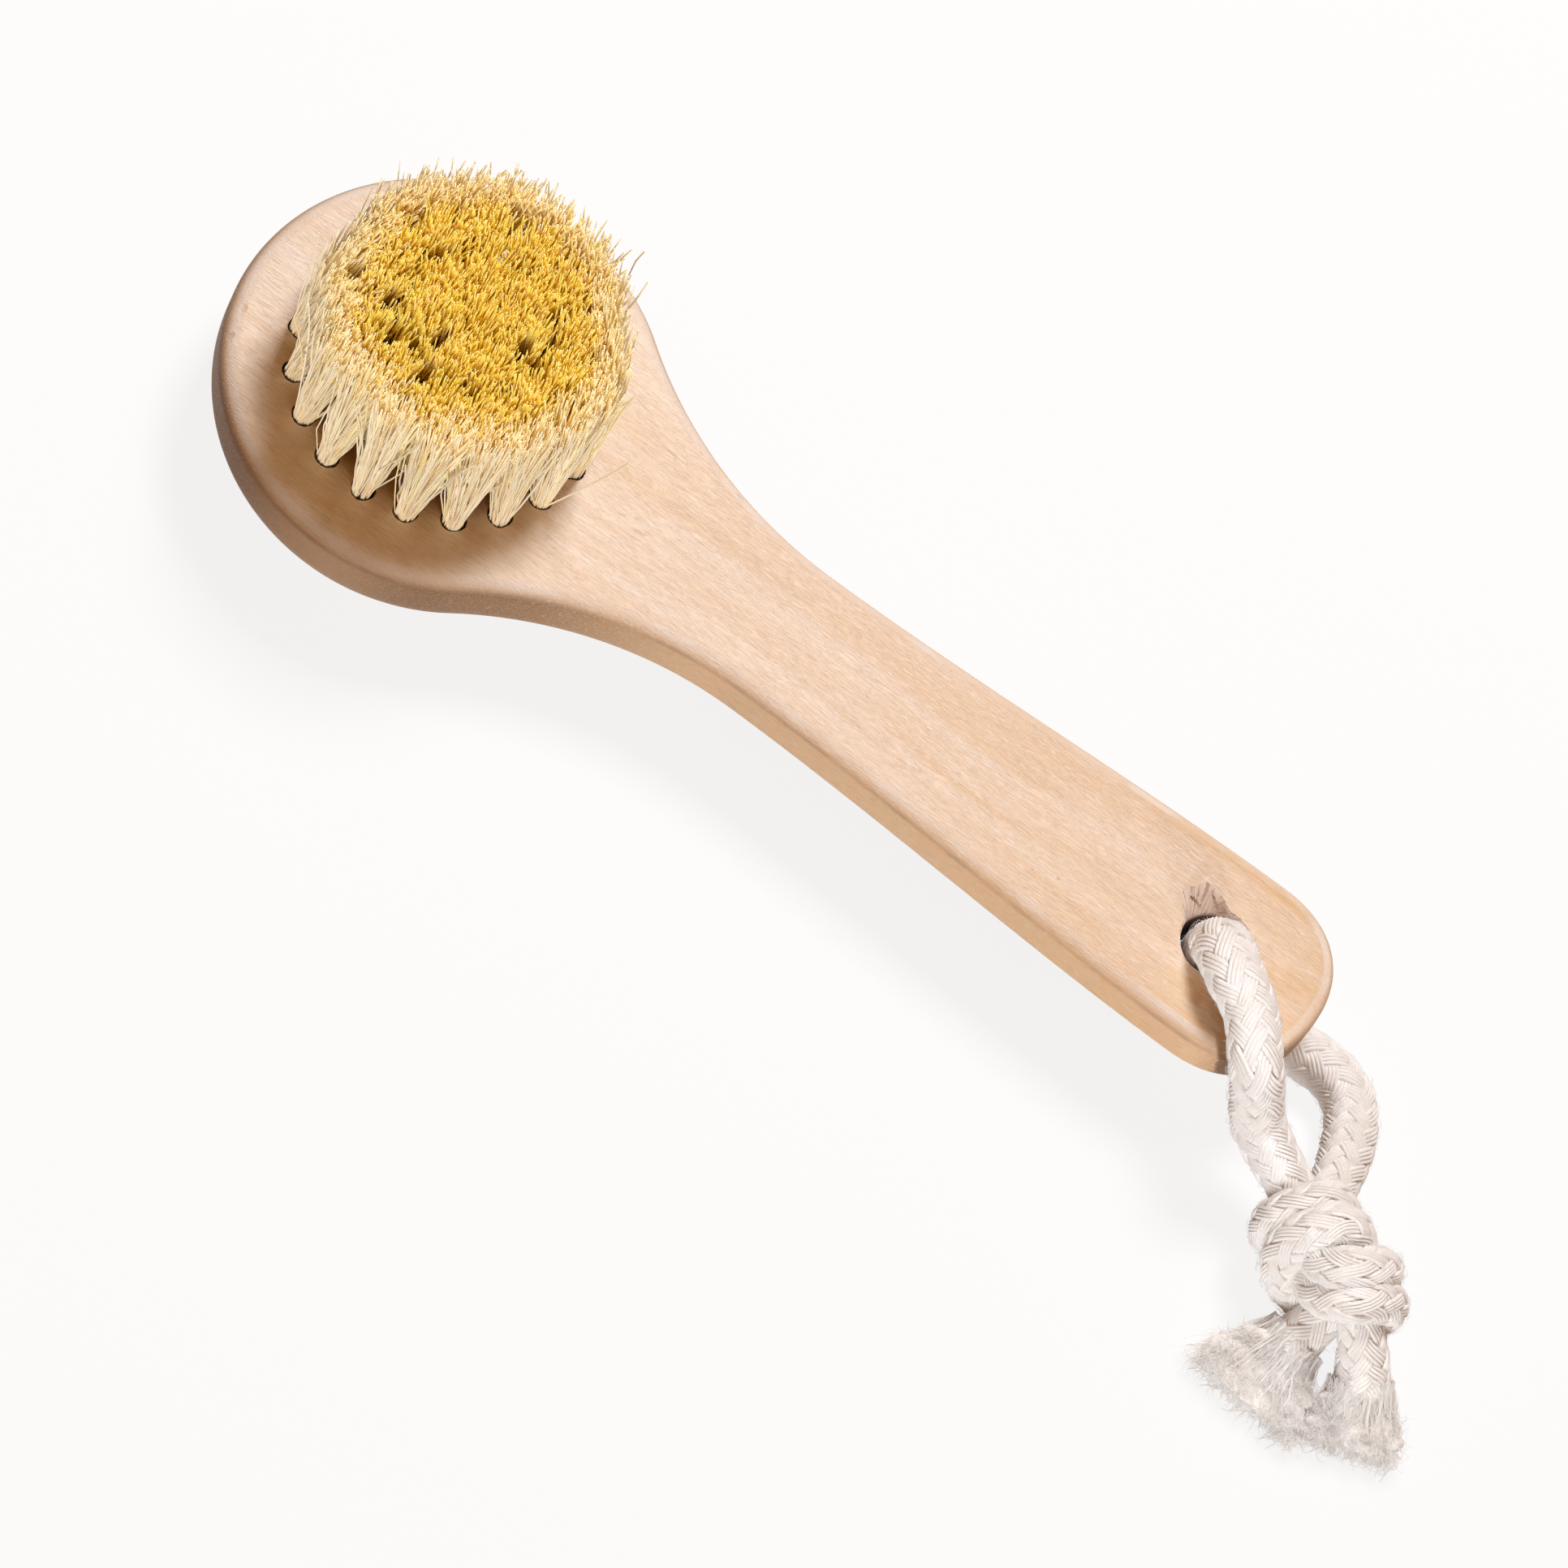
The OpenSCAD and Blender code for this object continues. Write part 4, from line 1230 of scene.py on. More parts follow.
@dataclass
class CordRoute:
    """The middle line of the hanging cord, with the CAD solid's points and its knot drawn tighter.

    Points are taken from the axis of the hanging hole. The cord runs from its left tail through
    the knot, up over the handle, down through the hole, under the handle, and through the knot
    again to its right tail.
    """

    body: WoodenBody  # the wood that it hangs on
    cord_d: float = 6.5 * MM  # diameter of the cord
    knot_d: float = 5.5 * MM  # diameter where the knot squeezes it
    mouth_d: float = 7.1 * MM  # diameter where it bulges out of the hole
    table_gap: float = 0.05 * MM  # gap between the cord and the table
    # How tight the knot is drawn, as shares of its loose size along its axes.
    knot_pull: Triple = (0.77, 0.87, 0.82)
    knot_turn: float = 46.0  # turn of the knot on the table, in degrees
    knot_squeeze: float = 8.0 * MM  # distance from the knot's middle within which the cord is squeezed
    knot_taper: float = 8.0 * MM  # length over which it gets its full size again
    wrap_w: float = 7.0 * MM  # half width of the strand's turn round the knot
    wrap_h: float = 6.8 * MM  # half height of that turn
    wrap_mid: float = -0.6 * MM  # height of its middle
    wrap_rise: float = 2.0 * MM  # how much higher it ends
    wrap_from: float = -7.0 * MM  # place along the knot where it begins
    wrap_to: float = 3.2 * MM  # place along the knot where it ends
    climb: Pair = (0.25, 0.9)  # shares of the turn between which it moves from one to the other
    wrap_steps: int = 12  # steps of the turn
    curve_steps: int = 16  # steps of the curve between two points

    def __post_init__(self) -> None:
        """Set the points that were chosen, in metres."""
        table = self.cord_d / 2 + self.table_gap
        top = self.body.head_t
        over = top + self.cord_d / 2
        self.knot_at = np.array([33, -21.1, 8.5]) * MM
        self.knot_in = np.array([
            [2.5, 9, -1.5], [0.5, 5, -2], [-2, 1, -1.6], [-3, -2.5, 0.8], [-2.5, -5, 2.8]]) * MM
        self.knot_out = np.array([
            [2.4, 1.6, 6], [2.3, -1, 3.5], [2, -4, 2], [2.2, -6.5, 1.2], [2.5, -9.5, 0.5]]) * MM
        self.left_tail = np.array([[34.7, -30.6, 3.6]]) * MM
        self.right_tail = np.array([[43.2, -27.6, 5.4], [44.8, -29.8, 3.7]]) * MM
        self.upper_leg = np.array([
            [17 * MM, -13.6 * MM, 12 * MM], [14.2 * MM, -12.4 * MM, 16.5 * MM],
            [11.8 * MM, -11.2 * MM, over], [8 * MM, -6.8 * MM, over + 0.7 * MM],
            [3.9 * MM, -3.9 * MM, over + 0.6 * MM], [1.2 * MM, -1.2 * MM, top + 2.2 * MM],
            [0.1 * MM, -0.1 * MM, top - 1.2 * MM]])
        self.lower_leg = np.array([
            [0, 0, 11.5 * MM], [0.2 * MM, 0.1 * MM, 8 * MM], [1.1 * MM, 0.3 * MM, 5.4 * MM],
            [3.2 * MM, 0.5 * MM, 3.8 * MM], [6.5 * MM, 0.9 * MM, table], [12 * MM, 1.6 * MM, table],
            [17 * MM, 2.3 * MM, table], [21.5 * MM, 2 * MM, table], [25 * MM, -0.6 * MM, 3.6 * MM],
            [27.2 * MM, -6 * MM, 5 * MM]])

    def knot_strand(self) -> Array:
        """The right strand of the doubled overhand knot, in the knot's own axes.

        It comes down the middle, makes one turn on an ellipse that climbs along the knot, and
        dives out to the tail.

        Returns:
            Points, shape (n, 3).
        """
        t = np.linspace(0.0, 1.0, self.wrap_steps + 1)
        climb_from, climb_to = self.climb
        climb = smooth((t - climb_from) / (climb_to - climb_from))
        wrap = np.stack([
            self.wrap_w * np.sin(2 * np.pi * t),
            self.wrap_from + (self.wrap_to - self.wrap_from) * climb,
            self.wrap_mid + self.wrap_h * np.cos(2 * np.pi * t) + self.wrap_rise * t], axis=-1)
        return np.concatenate([self.knot_in, wrap, self.knot_out]) * self.knot_pull

    def points(self) -> tuple[Array, Array, int]:
        """The route's points with the cord's diameter at each.

        Returns:
            Points, diameters, and the number of the point inside the hanging hole.
        """
        c, s = np.cos(np.radians(self.knot_turn)), np.sin(np.radians(self.knot_turn))
        axes = np.array([[c, s, 0.0], [-s, c, 0.0], [0.0, 0.0, 1.0]])
        strand = self.knot_strand()
        half_turned = strand * [-1.0, -1.0, 1.0]
        wide = np.clip((np.abs(strand[:, 1]) - self.knot_squeeze) / self.knot_taper, 0.0, 1.0)
        size = self.knot_d + (self.cord_d - self.knot_d) * wide
        runs = [self.left_tail, self.knot_at + half_turned[1:] @ axes, self.upper_leg, self.lower_leg,
                self.knot_at + strand @ axes, self.right_tail]
        sizes = [np.full(len(run), self.cord_d) for run in runs]
        sizes[1], sizes[4] = size[1:], size
        sizes[2][-3:-1] = self.mouth_d
        points = np.concatenate(runs) + [self.body.hole_x, 0.0, 0.0]
        return points, np.concatenate(sizes), sum(len(run) for run in runs[:3])

    def line(self) -> tuple[Array, Array, int]:
        """A curve through every point, each stretch a cubic of its two ends and their neighbours.

        Returns:
            Points of the curve, diameters, and the number of the point inside the hanging hole.
        """
        points, sizes, inside = self.points()
        knots = np.concatenate([points, sizes[:, None]], axis=1)
        knots = np.concatenate([knots[:1], knots, knots[-1:]])
        a, b, c, d = (knots[k:len(knots) - 3 + k, None] for k in range(4))
        t = (np.arange(self.curve_steps) / self.curve_steps)[None, :, None]
        curve = (b + (c - a) * t / 2 + (2 * a - 5 * b + 4 * c - d) * t ** 2 / 2
                 + (3 * b - a - 3 * c + d) * t ** 3 / 2).reshape(-1, 4)
        curve = np.concatenate([curve, knots[-1:]])
        return curve[:, :3], curve[:, 3], inside * self.curve_steps


@dataclass
class HangingCord:
    """The braided cotton cord, in two halves that meet inside the hanging hole."""

    route: CordRoute  # the middle line
    yarns: int = 16  # yarns in the braid, half of them each way round
    lay: float = 23.0 * MM  # length in which a yarn goes once round the cord
    rings: int = 270  # sections along each half
    columns: int = 4  # columns along the cord in which the yarns cross
    plies: int = 4  # plies that lie side by side in a yarn
    ply_gap: float = 0.46 * MM  # distance between the middles of two plies
    ply_w: float = 0.265 * MM  # half width of a ply
    ply_t: float = 0.38 * MM  # half thickness of a ply
    crown: float = 0.07 * MM  # how far the outer plies lie below the middle one
    weave: float = 0.32 * MM  # how far a yarn rises and sinks as it crosses the others
    weave_snap: float = 1.5  # how abruptly it does
    outer_r: float = 3.40 * MM  # radius of the cord over its highest yarns
    section_sides: int = 5  # corners of a ply's section
    uv_length: float = 100.0 * MM  # length of cord that the UV map counts as one
    fuzz: int = 6000  # loose fibres on the cord
    fuzz_margin: int = 8  # points at the ends of the line that have none
    fuzz_sunk: float = 0.15 * MM  # how far below the skin a loose fibre begins
    fuzz_reach: Pair = (0.5 * MM, 2.0 * MM)  # its least and most length
    fuzz_lift: Pair = (0.1 * MM, 0.6 * MM)  # the least and most that it stands off
    fuzz_arch: Pair = (0.15, 0.75)  # start and share of the half wave by which it does
    fuzz_bend: float = 0.3 * MM  # how far its end bends aside
    fuzz_taper: tuple[float, ...] = (1.0, 1.0, 0.9, 0.7, 0.4)  # shares of its radius along it
    fibre_r: float = 0.020 * MM  # its radius
    fibre_low: float = 0.03 * MM  # least height of its middle line above the table
    # Middles of the two fans of frayed yarn on the table, left and right.
    tips: tuple[Triple, Triple] = ((96.0 * MM, -38.5 * MM, 0.0), (109.0 * MM, -35.6 * MM, 0.0))
    fan_w: Pair = (16.0 * MM, 12.5 * MM)  # widths of those fans
    fan_seeds: tuple[int, int] = (31, 32)  # starts of their random draws
    lint_light: Colour = (0.990, 0.985, 0.985)  # colour of clean loose fibres
    lint_cream: Colour = (0.985, 0.955, 0.910)  # colour of creamier ones
    lint_turns: float = 2.0  # fine lines round a loose fibre
    seed: int = 21  # start of the random draws

    def frames(self) -> tuple[Array, Array, Array, Array, int]:
        """Points along the cord with untwisted cross axes.

        Returns:
            Points, first axes, second axes, radii, and the number of the point in the hole.
        """
        points, sizes, inside = self.route.line()
        ways = unit(np.gradient(points, axis=0))
        sides = np.empty_like(points)
        sides[0] = unit(np.cross(ways[0], UPRIGHT))
        for i in range(1, len(points)):
            sides[i] = unit(sides[i - 1] - ways[i] * (sides[i - 1] @ ways[i]))
        return points, sides, np.cross(ways, sides), sizes / 2, inside

    def braid(self, span: slice) -> tuple[Surface, Array]:
        """The yarns of one stretch of the cord.

        A yarn goes round at a steady pace, half of them each way. It stands further out where the
        cosine of four times its angle is positive for one way and negative for the other, so it
        passes over two yarns and under two, in columns along the cord.

        Args:
            span: The stretch of the middle line.

        Returns:
            The yarns as closed tubes, and the stretch's middle line.
        """
        points, ax, ay, radius, _ = self.frames()
        length = np.concatenate([[0.0], np.cumsum(np.linalg.norm(np.diff(points, axis=0), axis=1))])
        at = np.linspace(length[span.start], length[span.stop - 1], self.rings)

        def along(values: Array) -> Array:
            """Values at evenly spaced places along the stretch."""
            return np.stack([np.interp(at, length, v) for v in values.T], axis=-1)

        middle, ax, ay = along(points), unit(along(ax)), unit(along(ay))
        scale = np.interp(at, length, radius) / (self.route.cord_d / 2)
        k = np.arange(self.yarns)
        way = np.where(k < self.yarns // 2, 1.0, -1.0)[:, None]
        angle = 4 * np.pi * (k % (self.yarns // 2))[:, None] / self.yarns + way * 2 * np.pi * at / self.lay
        over = way * np.cos(self.columns * angle + np.pi / 4)
        rest = self.outer_r - self.ply_t - self.weave
        out = scale * (rest + self.weave * np.clip(self.weave_snap * over, -1.0, 1.0))
        normal = ax * np.cos(angle)[..., None] + ay * np.sin(angle)[..., None]
        yarns = middle + normal * out[..., None]
        sides = np.cross(unit(np.gradient(yarns, axis=1)), normal)
        ply = (np.arange(self.plies) - (self.plies - 1) / 2)[:, None, None, None]
        aside = self.ply_gap * ply * sides - self.crown * np.abs(ply) * normal
        paths = yarns + scale[:, None] * aside
        shape = (self.plies * self.yarns, self.rings)
        size = np.broadcast_to(scale, shape)
        ups = np.broadcast_to(normal, (self.plies,) + normal.shape).reshape(shape + (3,))
        braid = sweep(paths.reshape(shape + (3,)), ups, self.ply_w * size, self.ply_t * size,
                      circle(self.section_sides))
        braid.uv[:, 0] *= (at[-1] - at[0]) / self.uv_length
        return braid, middle

    def fibres(self) -> Surface:
        """Loose fibres that stand off the braid.

        A fibre leaves the cord's skin and lies along and round the cord at random. It stands off
        by part of a half wave, and its end bends aside by the square of the way along it.

        Returns:
            The fibres as thin closed tubes.
        """
        rng = np.random.default_rng(self.seed)
        points, ax, ay, radius, _ = self.frames()
        column = (self.fuzz, 1)
        at = rng.integers(self.fuzz_margin, len(points) - self.fuzz_margin, self.fuzz)
        turn = rng.uniform(0.0, 2 * np.pi, self.fuzz)[:, None]
        out = ax[at] * np.cos(turn) + ay[at] * np.sin(turn)
        way = unit(points[at + 1] - points[at])
        lie = way * rng.normal(0.0, 1.0, column)
        lie = unit(lie + np.cross(way, out) * rng.normal(0.0, 1.0, column))
        reach = rng.uniform(*self.fuzz_reach, column)[:, None]
        lift = rng.uniform(*self.fuzz_lift, column)[:, None]
        t = np.linspace(0.0, 1.0, len(self.fuzz_taper))[None, :, None]
        start = points[at] + out * (radius[at][:, None] - self.fuzz_sunk)
        arch_from, arch_share = self.fuzz_arch
        bend = rng.normal(0.0, self.fuzz_bend, (self.fuzz, 1, 1))
        aside = np.cross(lie, out)[:, None]
        paths = (start[:, None] + lie[:, None] * reach * t
                 + out[:, None] * lift * np.sin(np.pi * (arch_from + arch_share * t))
                 + aside * bend * t ** 2)
        paths[..., 2] = np.maximum(paths[..., 2], self.fibre_low)
        thin = np.broadcast_to(self.fibre_r * np.array(self.fuzz_taper), paths.shape[:2])
        return sweep(paths, np.broadcast_to(unit(aside), paths.shape), thin, thin, circle(3))

    def build(self) -> list[bpy.types.Object]:
        """Make the two halves, their loose fibres and the frayed ends.

        Returns:
            The pieces.
        """
        yarn = CottonFinish().make()
        lint = CottonFinish(name="cotton_lint", light=self.lint_light, cream=self.lint_cream,
                            fibre_turns=self.lint_turns).make()
        points, _, _, _, inside = self.frames()
        fuzz = self.fibres().to_object("cord_lint", [lint], smoothed=False)
        ends = []
        for k, (side, end, before) in enumerate((("left", 0, 2), ("right", -1, -3))):
            way = unit(points[end] - points[before])
            fray = FrayedEnd(f"{side}_fray", f"{side}_frayed_end", points[end], way,
                             np.array(self.tips[k]), self.fan_w[k], self.fan_seeds[k])
            ends.append(fray.build(lint))
        left, right = ends
        halves = []
        for name, span, on_it in (("cord_over_handle", slice(0, inside + 1), [left, fuzz]),
                                  ("cord_under_handle", slice(inside, len(points)), [right])):
            surface, middle = self.braid(span)
            piece = surface.to_object(name, [yarn])
            settle(piece, Body.CORD, Slot.COTTON, "hanging_cord")
            halves.append(piece)
        settle(fuzz, Body.CORD, Slot.COTTON)
        return [*halves, fuzz, left, right]


@dataclass(frozen=True)
class Strands:
    """Strands of one thickness in a frayed end."""

    count: int  # how many strands
    radius: float  # their greatest radius
    steps: int  # points along each
    reach: Pair  # the least and most share of the way to the fan's edge
    curl: float  # how far a strand wanders
    sides: int  # corners of its section


@dataclass
class FrayedEnd:
    """The loosened yarn at one end of the cord."""

    name: str  # the piece's name
    node: str  # the CAD node that it stands for
    start: Array  # end of the cord's middle line
    way: Array  # direction in which the cord ends
    tip_at: Array  # middle of the fan's edge, on the table
    tip_w: float  # width of the fan at its edge
    seed: int  # start of the random draws
    tip_t: float = 3.6 * MM  # thickness of the fan at its edge
    root_w: float = 4.0 * MM  # half width of the cord where it loosens
    root_t: float = 3.1 * MM  # half thickness of the cord there
    wad_grid: tuple[int, int] = (56, 84)  # points along and round the soft mass under the strands
    wad_back: float = 1.5 * MM  # how far inside the cord that mass begins
    wad_bend: float = 2.0 * MM  # how far beyond the cord's end its line bends
    wad_root: float = 0.9  # its size in the cord, as a share of the cord's
    wad_ends: Pair = (0.22, 0.30)  # shares of its length over which its two ends close
    wad_low: float = 0.02 * MM  # its least height above the table
    lumps: tuple[int, float] = (18, 0.045)  # waves that make it lumpy, and the share of its size that one has
    lump_range: Pair = (0.3, 1.0)  # the least and most weight of such a wave
    lump_turns: int = 7  # most waves round the mass, either way
    lump_waves: Pair = (2.0, 24.0)  # the least and most turn of a wave along it, in radians
    plies: Strands = Strands(70, 0.20 * MM, 9, (0.60, 1.0), 0.7 * MM, 5)  # loosened plies
    # Single fibres between and beyond them.
    fibres: Strands = Strands(1500, 0.040 * MM, 7, (0.6, 1.08), 0.9 * MM, 3)
    # The least and most distance from the cord's middle where strands begin, squared.
    root_share: Pair = (0.5, 1.05)
    root_spin: Pair = (-0.2, 1.2)  # the angles between which they do, in half turns
    root_back: Pair = (0.5 * MM, 2.2 * MM)  # the least and most that they begin inside the cord
    strand_bend: float = 2.6 * MM  # how far beyond its root a strand bends
    strand_range: Pair = (0.6, 1.2)  # the least and most share of a strand's radius
    strand_taper: Pair = (1.0, 0.45)  # shares of that at its root and its tip
    strand_up: Triple = (0.05, 0.1, 1.0)  # the way that a section's upper corner faces
    tip_scatter: float = 0.16  # how far the tips stray sideways, as a share of the half width
    tip_most: float = 1.08  # the furthest that they lie to the side
    # The least and most share of the fan's half thickness that they lie up or down.
    tip_lift: Pair = (0.5, 1.15)
    edge_ragged: float = 0.35 * MM  # how ragged the fan's edge is
    edge_round: float = 0.8 * MM  # how far the edge's corners lie back
    curl_turns: Pair = (0.6, 2.4)  # the least and most half waves of a strand's curl
    fluff: int = 3200  # short curly fibres that fill the fan
    fluff_steps: int = 7  # points along each
    fluff_from: Pair = (0.15, 1.0)  # the least and most share of the way to the edge where they begin
    fluff_height: Pair = (0.1, 1.0)  # the least and most share of the fan's thickness where they begin
    fluff_heading: float = 1.1  # how far their headings differ from the fan's, in radians
    fluff_curl: float = 0.45  # how far they turn in a step, in radians
    fluff_step: Pair = (0.15 * MM, 0.40 * MM)  # the least and most length of a step
    fluff_sink: Pair = (-0.05 * MM, 0.16 * MM)  # mean and scatter of their rise in a step
    fluff_r: float = 0.040 * MM  # radius of such a fibre
    fluff_taper: Pair = (1.1, 0.5)  # shares of that at its root and its tip

    def __post_init__(self) -> None:
        """Work out the fan's axes and the middle of its edge."""
        self.axis = unit((self.tip_at - self.start) * [1.0, 1.0, 0.0])
        self.across = np.array([-self.axis[1], self.axis[0], 0.0])
        self.edge = np.array([self.tip_at[0], self.tip_at[1], self.tip_t / 2])

    def wad(self, rng: np.random.Generator) -> Surface:
        """The soft mass of tangled cotton that the strands lie on.

        A flat oval is carried from inside the cord to the fan's edge. Its half width and half
        thickness ease from the cord's to the edge's, and both are cut to nothing at the two ends
        by the root of one minus a power of the way to that end. Waves along and round it, with
        random turns, make it lumpy.

        Args:
            rng: The random draws.

        Returns:
            The closed mass.
        """
        steps, sides = self.wad_grid
        t = np.linspace(0.0, 1.0, steps)
        begin = self.start - self.way * self.wad_back
        bend = self.start + self.way * self.wad_bend
        line = ((1 - t)[:, None] ** 2 * begin + (2 * t * (1 - t))[:, None] * bend
                + t[:, None] ** 2 * self.edge)
        root_l, tip_l = self.wad_ends
        closing = np.sqrt(1 - np.clip(1 - t / root_l, 0.0, 1.0) ** 2)
        closing = closing * np.sqrt(1 - np.clip((t - 1 + tip_l) / tip_l, 0.0, 1.0) ** 3)
        root_w, root_t = self.wad_root * self.root_w, self.wad_root * self.root_t
        half_w = (root_w + (self.tip_w / 2 - root_w) * smooth(t)) * closing
        half_t = (root_t + (self.tip_t / 2 - root_t) * t) * closing
        turn = 2 * np.pi * np.arange(sides) / sides
        count, most = self.lumps
        wave = np.zeros(self.wad_grid)
        for _ in range(count):
            weight = rng.uniform(*self.lump_range)
            lumps_round = rng.integers(-self.lump_turns, self.lump_turns + 1) * turn[None]
            lumps_along = rng.uniform(*self.lump_waves) * t[:, None]
            wave += weight * np.cos(lumps_round + lumps_along + rng.uniform(0, PHASE))
        section = circle(sides)[None] * (1 + most * wave[..., None])
        ups = np.broadcast_to(UPRIGHT, (1, steps, 3))
        mass = sweep(line[None], ups, half_w[None], half_t[None], section[None])
        mass.points[:, 2] = np.maximum(mass.points[:, 2], self.wad_low)
        return mass

    def strands(self, kind: Strands, rng: np.random.Generator) -> Surface:
        """Strands of one thickness.

        A strand starts in the cord at a random place of its upper skin, leaves along the cord
        and bends to the place that the fan's flat edge has for it, with a curl of its own.

        Args:
            kind: The strands' number and sizes.
            rng: The random draws.

        Returns:
            The strands as closed tubes.
        """
        n = kind.count
        level = unit(np.cross(UPRIGHT, self.way))
        up = np.cross(self.way, level)
        share = np.sqrt(rng.uniform(*self.root_share, n))
        spin = rng.uniform(*(np.pi * np.array(self.root_spin)), n)
        a, b = share * np.cos(spin), share * np.sin(spin)
        root = self.start - self.way * rng.uniform(*self.root_back, n)[:, None]
        root = root + (self.root_w * a)[:, None] * level + (self.root_t * b)[:, None] * up
        tip_a = np.clip(a + rng.normal(0.0, self.tip_scatter, n), -self.tip_most, self.tip_most)
        tip = self.edge + self.across * (tip_a * self.tip_w / 2)[:, None]
        tip[:, 2] += b * self.tip_t / 2 * rng.uniform(*self.tip_lift, n)
        ragged = rng.normal(0.0, self.edge_ragged, n) - self.edge_round * tip_a ** 2
        tip += self.axis * ragged[:, None]
        t = np.linspace(0.0, 1.0, kind.steps)[None, :] * rng.uniform(*kind.reach, n)[:, None]
        t = t[..., None]
        bend = root + self.way * self.strand_bend
        line = (1 - t) ** 2 * root[:, None] + 2 * t * (1 - t) * bend[:, None] + t ** 2 * tip[:, None]
        turns = rng.uniform(*self.curl_turns, (n, 1, 1))
        line = line + rng.normal(0.0, kind.curl, (n, 1, 3)) * np.sin(np.pi * t * turns) * t
        thick = kind.radius * rng.uniform(*self.strand_range, n)
        thick = thick[:, None] * np.linspace(*self.strand_taper, kind.steps)
        return self.on_table(line, thick, kind.sides)

    def curls(self, rng: np.random.Generator) -> Surface:
        """Short curly fibres that fill the fan.

        A fibre starts on the straight line from the cord's end to a random place of the fan's
        edge, and goes on in a random level direction that turns at a steady pace of its own.

        Args:
            rng: The random draws.

        Returns:
            The fibres as thin closed tubes.
        """
        n, steps = self.fluff, self.fluff_steps
        t = rng.uniform(*self.fluff_from, (n, 1))
        half = (self.root_w + (self.tip_w / 2 - self.root_w) * t) * rng.uniform(-1.0, 1.0, (n, 1))
        start = self.start + (self.tip_at - self.start) * t + self.across * half
        thickness = 2 * self.root_t + (self.tip_t - 2 * self.root_t) * t[:, 0]
        start[:, 2] = rng.uniform(*self.fluff_height, n) * thickness
        heading = np.arctan2(self.axis[1], self.axis[0]) + rng.normal(0.0, self.fluff_heading, (n, 1))
        heading = heading + rng.normal(0.0, self.fluff_curl, (n, 1)) * np.arange(steps)[None]
        step = rng.uniform(*self.fluff_step, (n, 1))
        level = np.stack([np.cos(heading), np.sin(heading)], axis=-1) * step[..., None]
        sink = np.broadcast_to(rng.normal(*self.fluff_sink, (n, 1)), level.shape[:2])
        line = start[:, None] + np.cumsum(np.concatenate([level, sink[..., None]], axis=-1), axis=1)
        thin = np.broadcast_to(self.fluff_r * np.linspace(*self.fluff_taper, steps), (n, steps))
        return self.on_table(line, thin, 3)

    def on_table(self, line: Array, thick: Array, sides: int) -> Surface:
        """Closed tubes along lines that are kept above the table.

        Args:
            line: Points of the lines, shape (n, m, 3).
            thick: Radii, shape (n, m).
            sides: Corners of a section.

        Returns:
            The tubes.
        """
        line[..., 2] = np.maximum(line[..., 2], thick)
        ups = np.broadcast_to(unit(np.array(self.strand_up)), line.shape)
        return sweep(line, ups, thick, thick, circle(sides))

    def build(self, material: bpy.types.Material) -> bpy.types.Object:
        """Make the fan of soft cotton, plies and fibres.

        Args:
            material: The yarn's material.

        Returns:
            The piece.
        """
        rng = np.random.default_rng(self.seed)
        fan = join([self.wad(rng), self.strands(self.plies, rng), self.strands(self.fibres, rng),
                    self.curls(rng)])
        piece = fan.to_object(self.name, [material], smoothed=False)
        settle(piece, Body.CORD, Slot.COTTON, self.node)
        return piece


@dataclass(frozen=True)
class Lamp:
    """A flat square lamp that faces a point."""

    name: str  # the lamp's name
    place: Triple  # its middle
    target: Triple  # the point it faces
    size: float  # its width
    watts: float  # its power
    colour: Colour  # its colour
    spread: float = 180.0  # the angle that its grid lets out, in degrees, where 180 is no grid

    def hang(self, pieces: Sequence[bpy.types.Object] = ()) -> None:
        """Hang the lamp.

        Args:
            pieces: The pieces that alone receive its light, or none if all do.
        """
        data = bpy.data.lights.new(self.name, "AREA")
        data.shape = "RECTANGLE"
        data.size, data.size_y = self.size, self.size
        data.energy, data.color = self.watts, self.colour
        data.spread = np.radians(self.spread)
        lamp = bpy.data.objects.new(self.name, data)
        lamp.location = self.place
        lamp.rotation_euler = (Vector(self.target) - Vector(self.place)).to_track_quat("-Z", "Y").to_euler()
        bpy.context.scene.collection.objects.link(lamp)
        if pieces:
            receivers = bpy.data.collections.new(f"lit_by_{self.name}")
            for piece in pieces:
                receivers.objects.link(piece)
            lamp.light_linking.receiver_collection = receivers


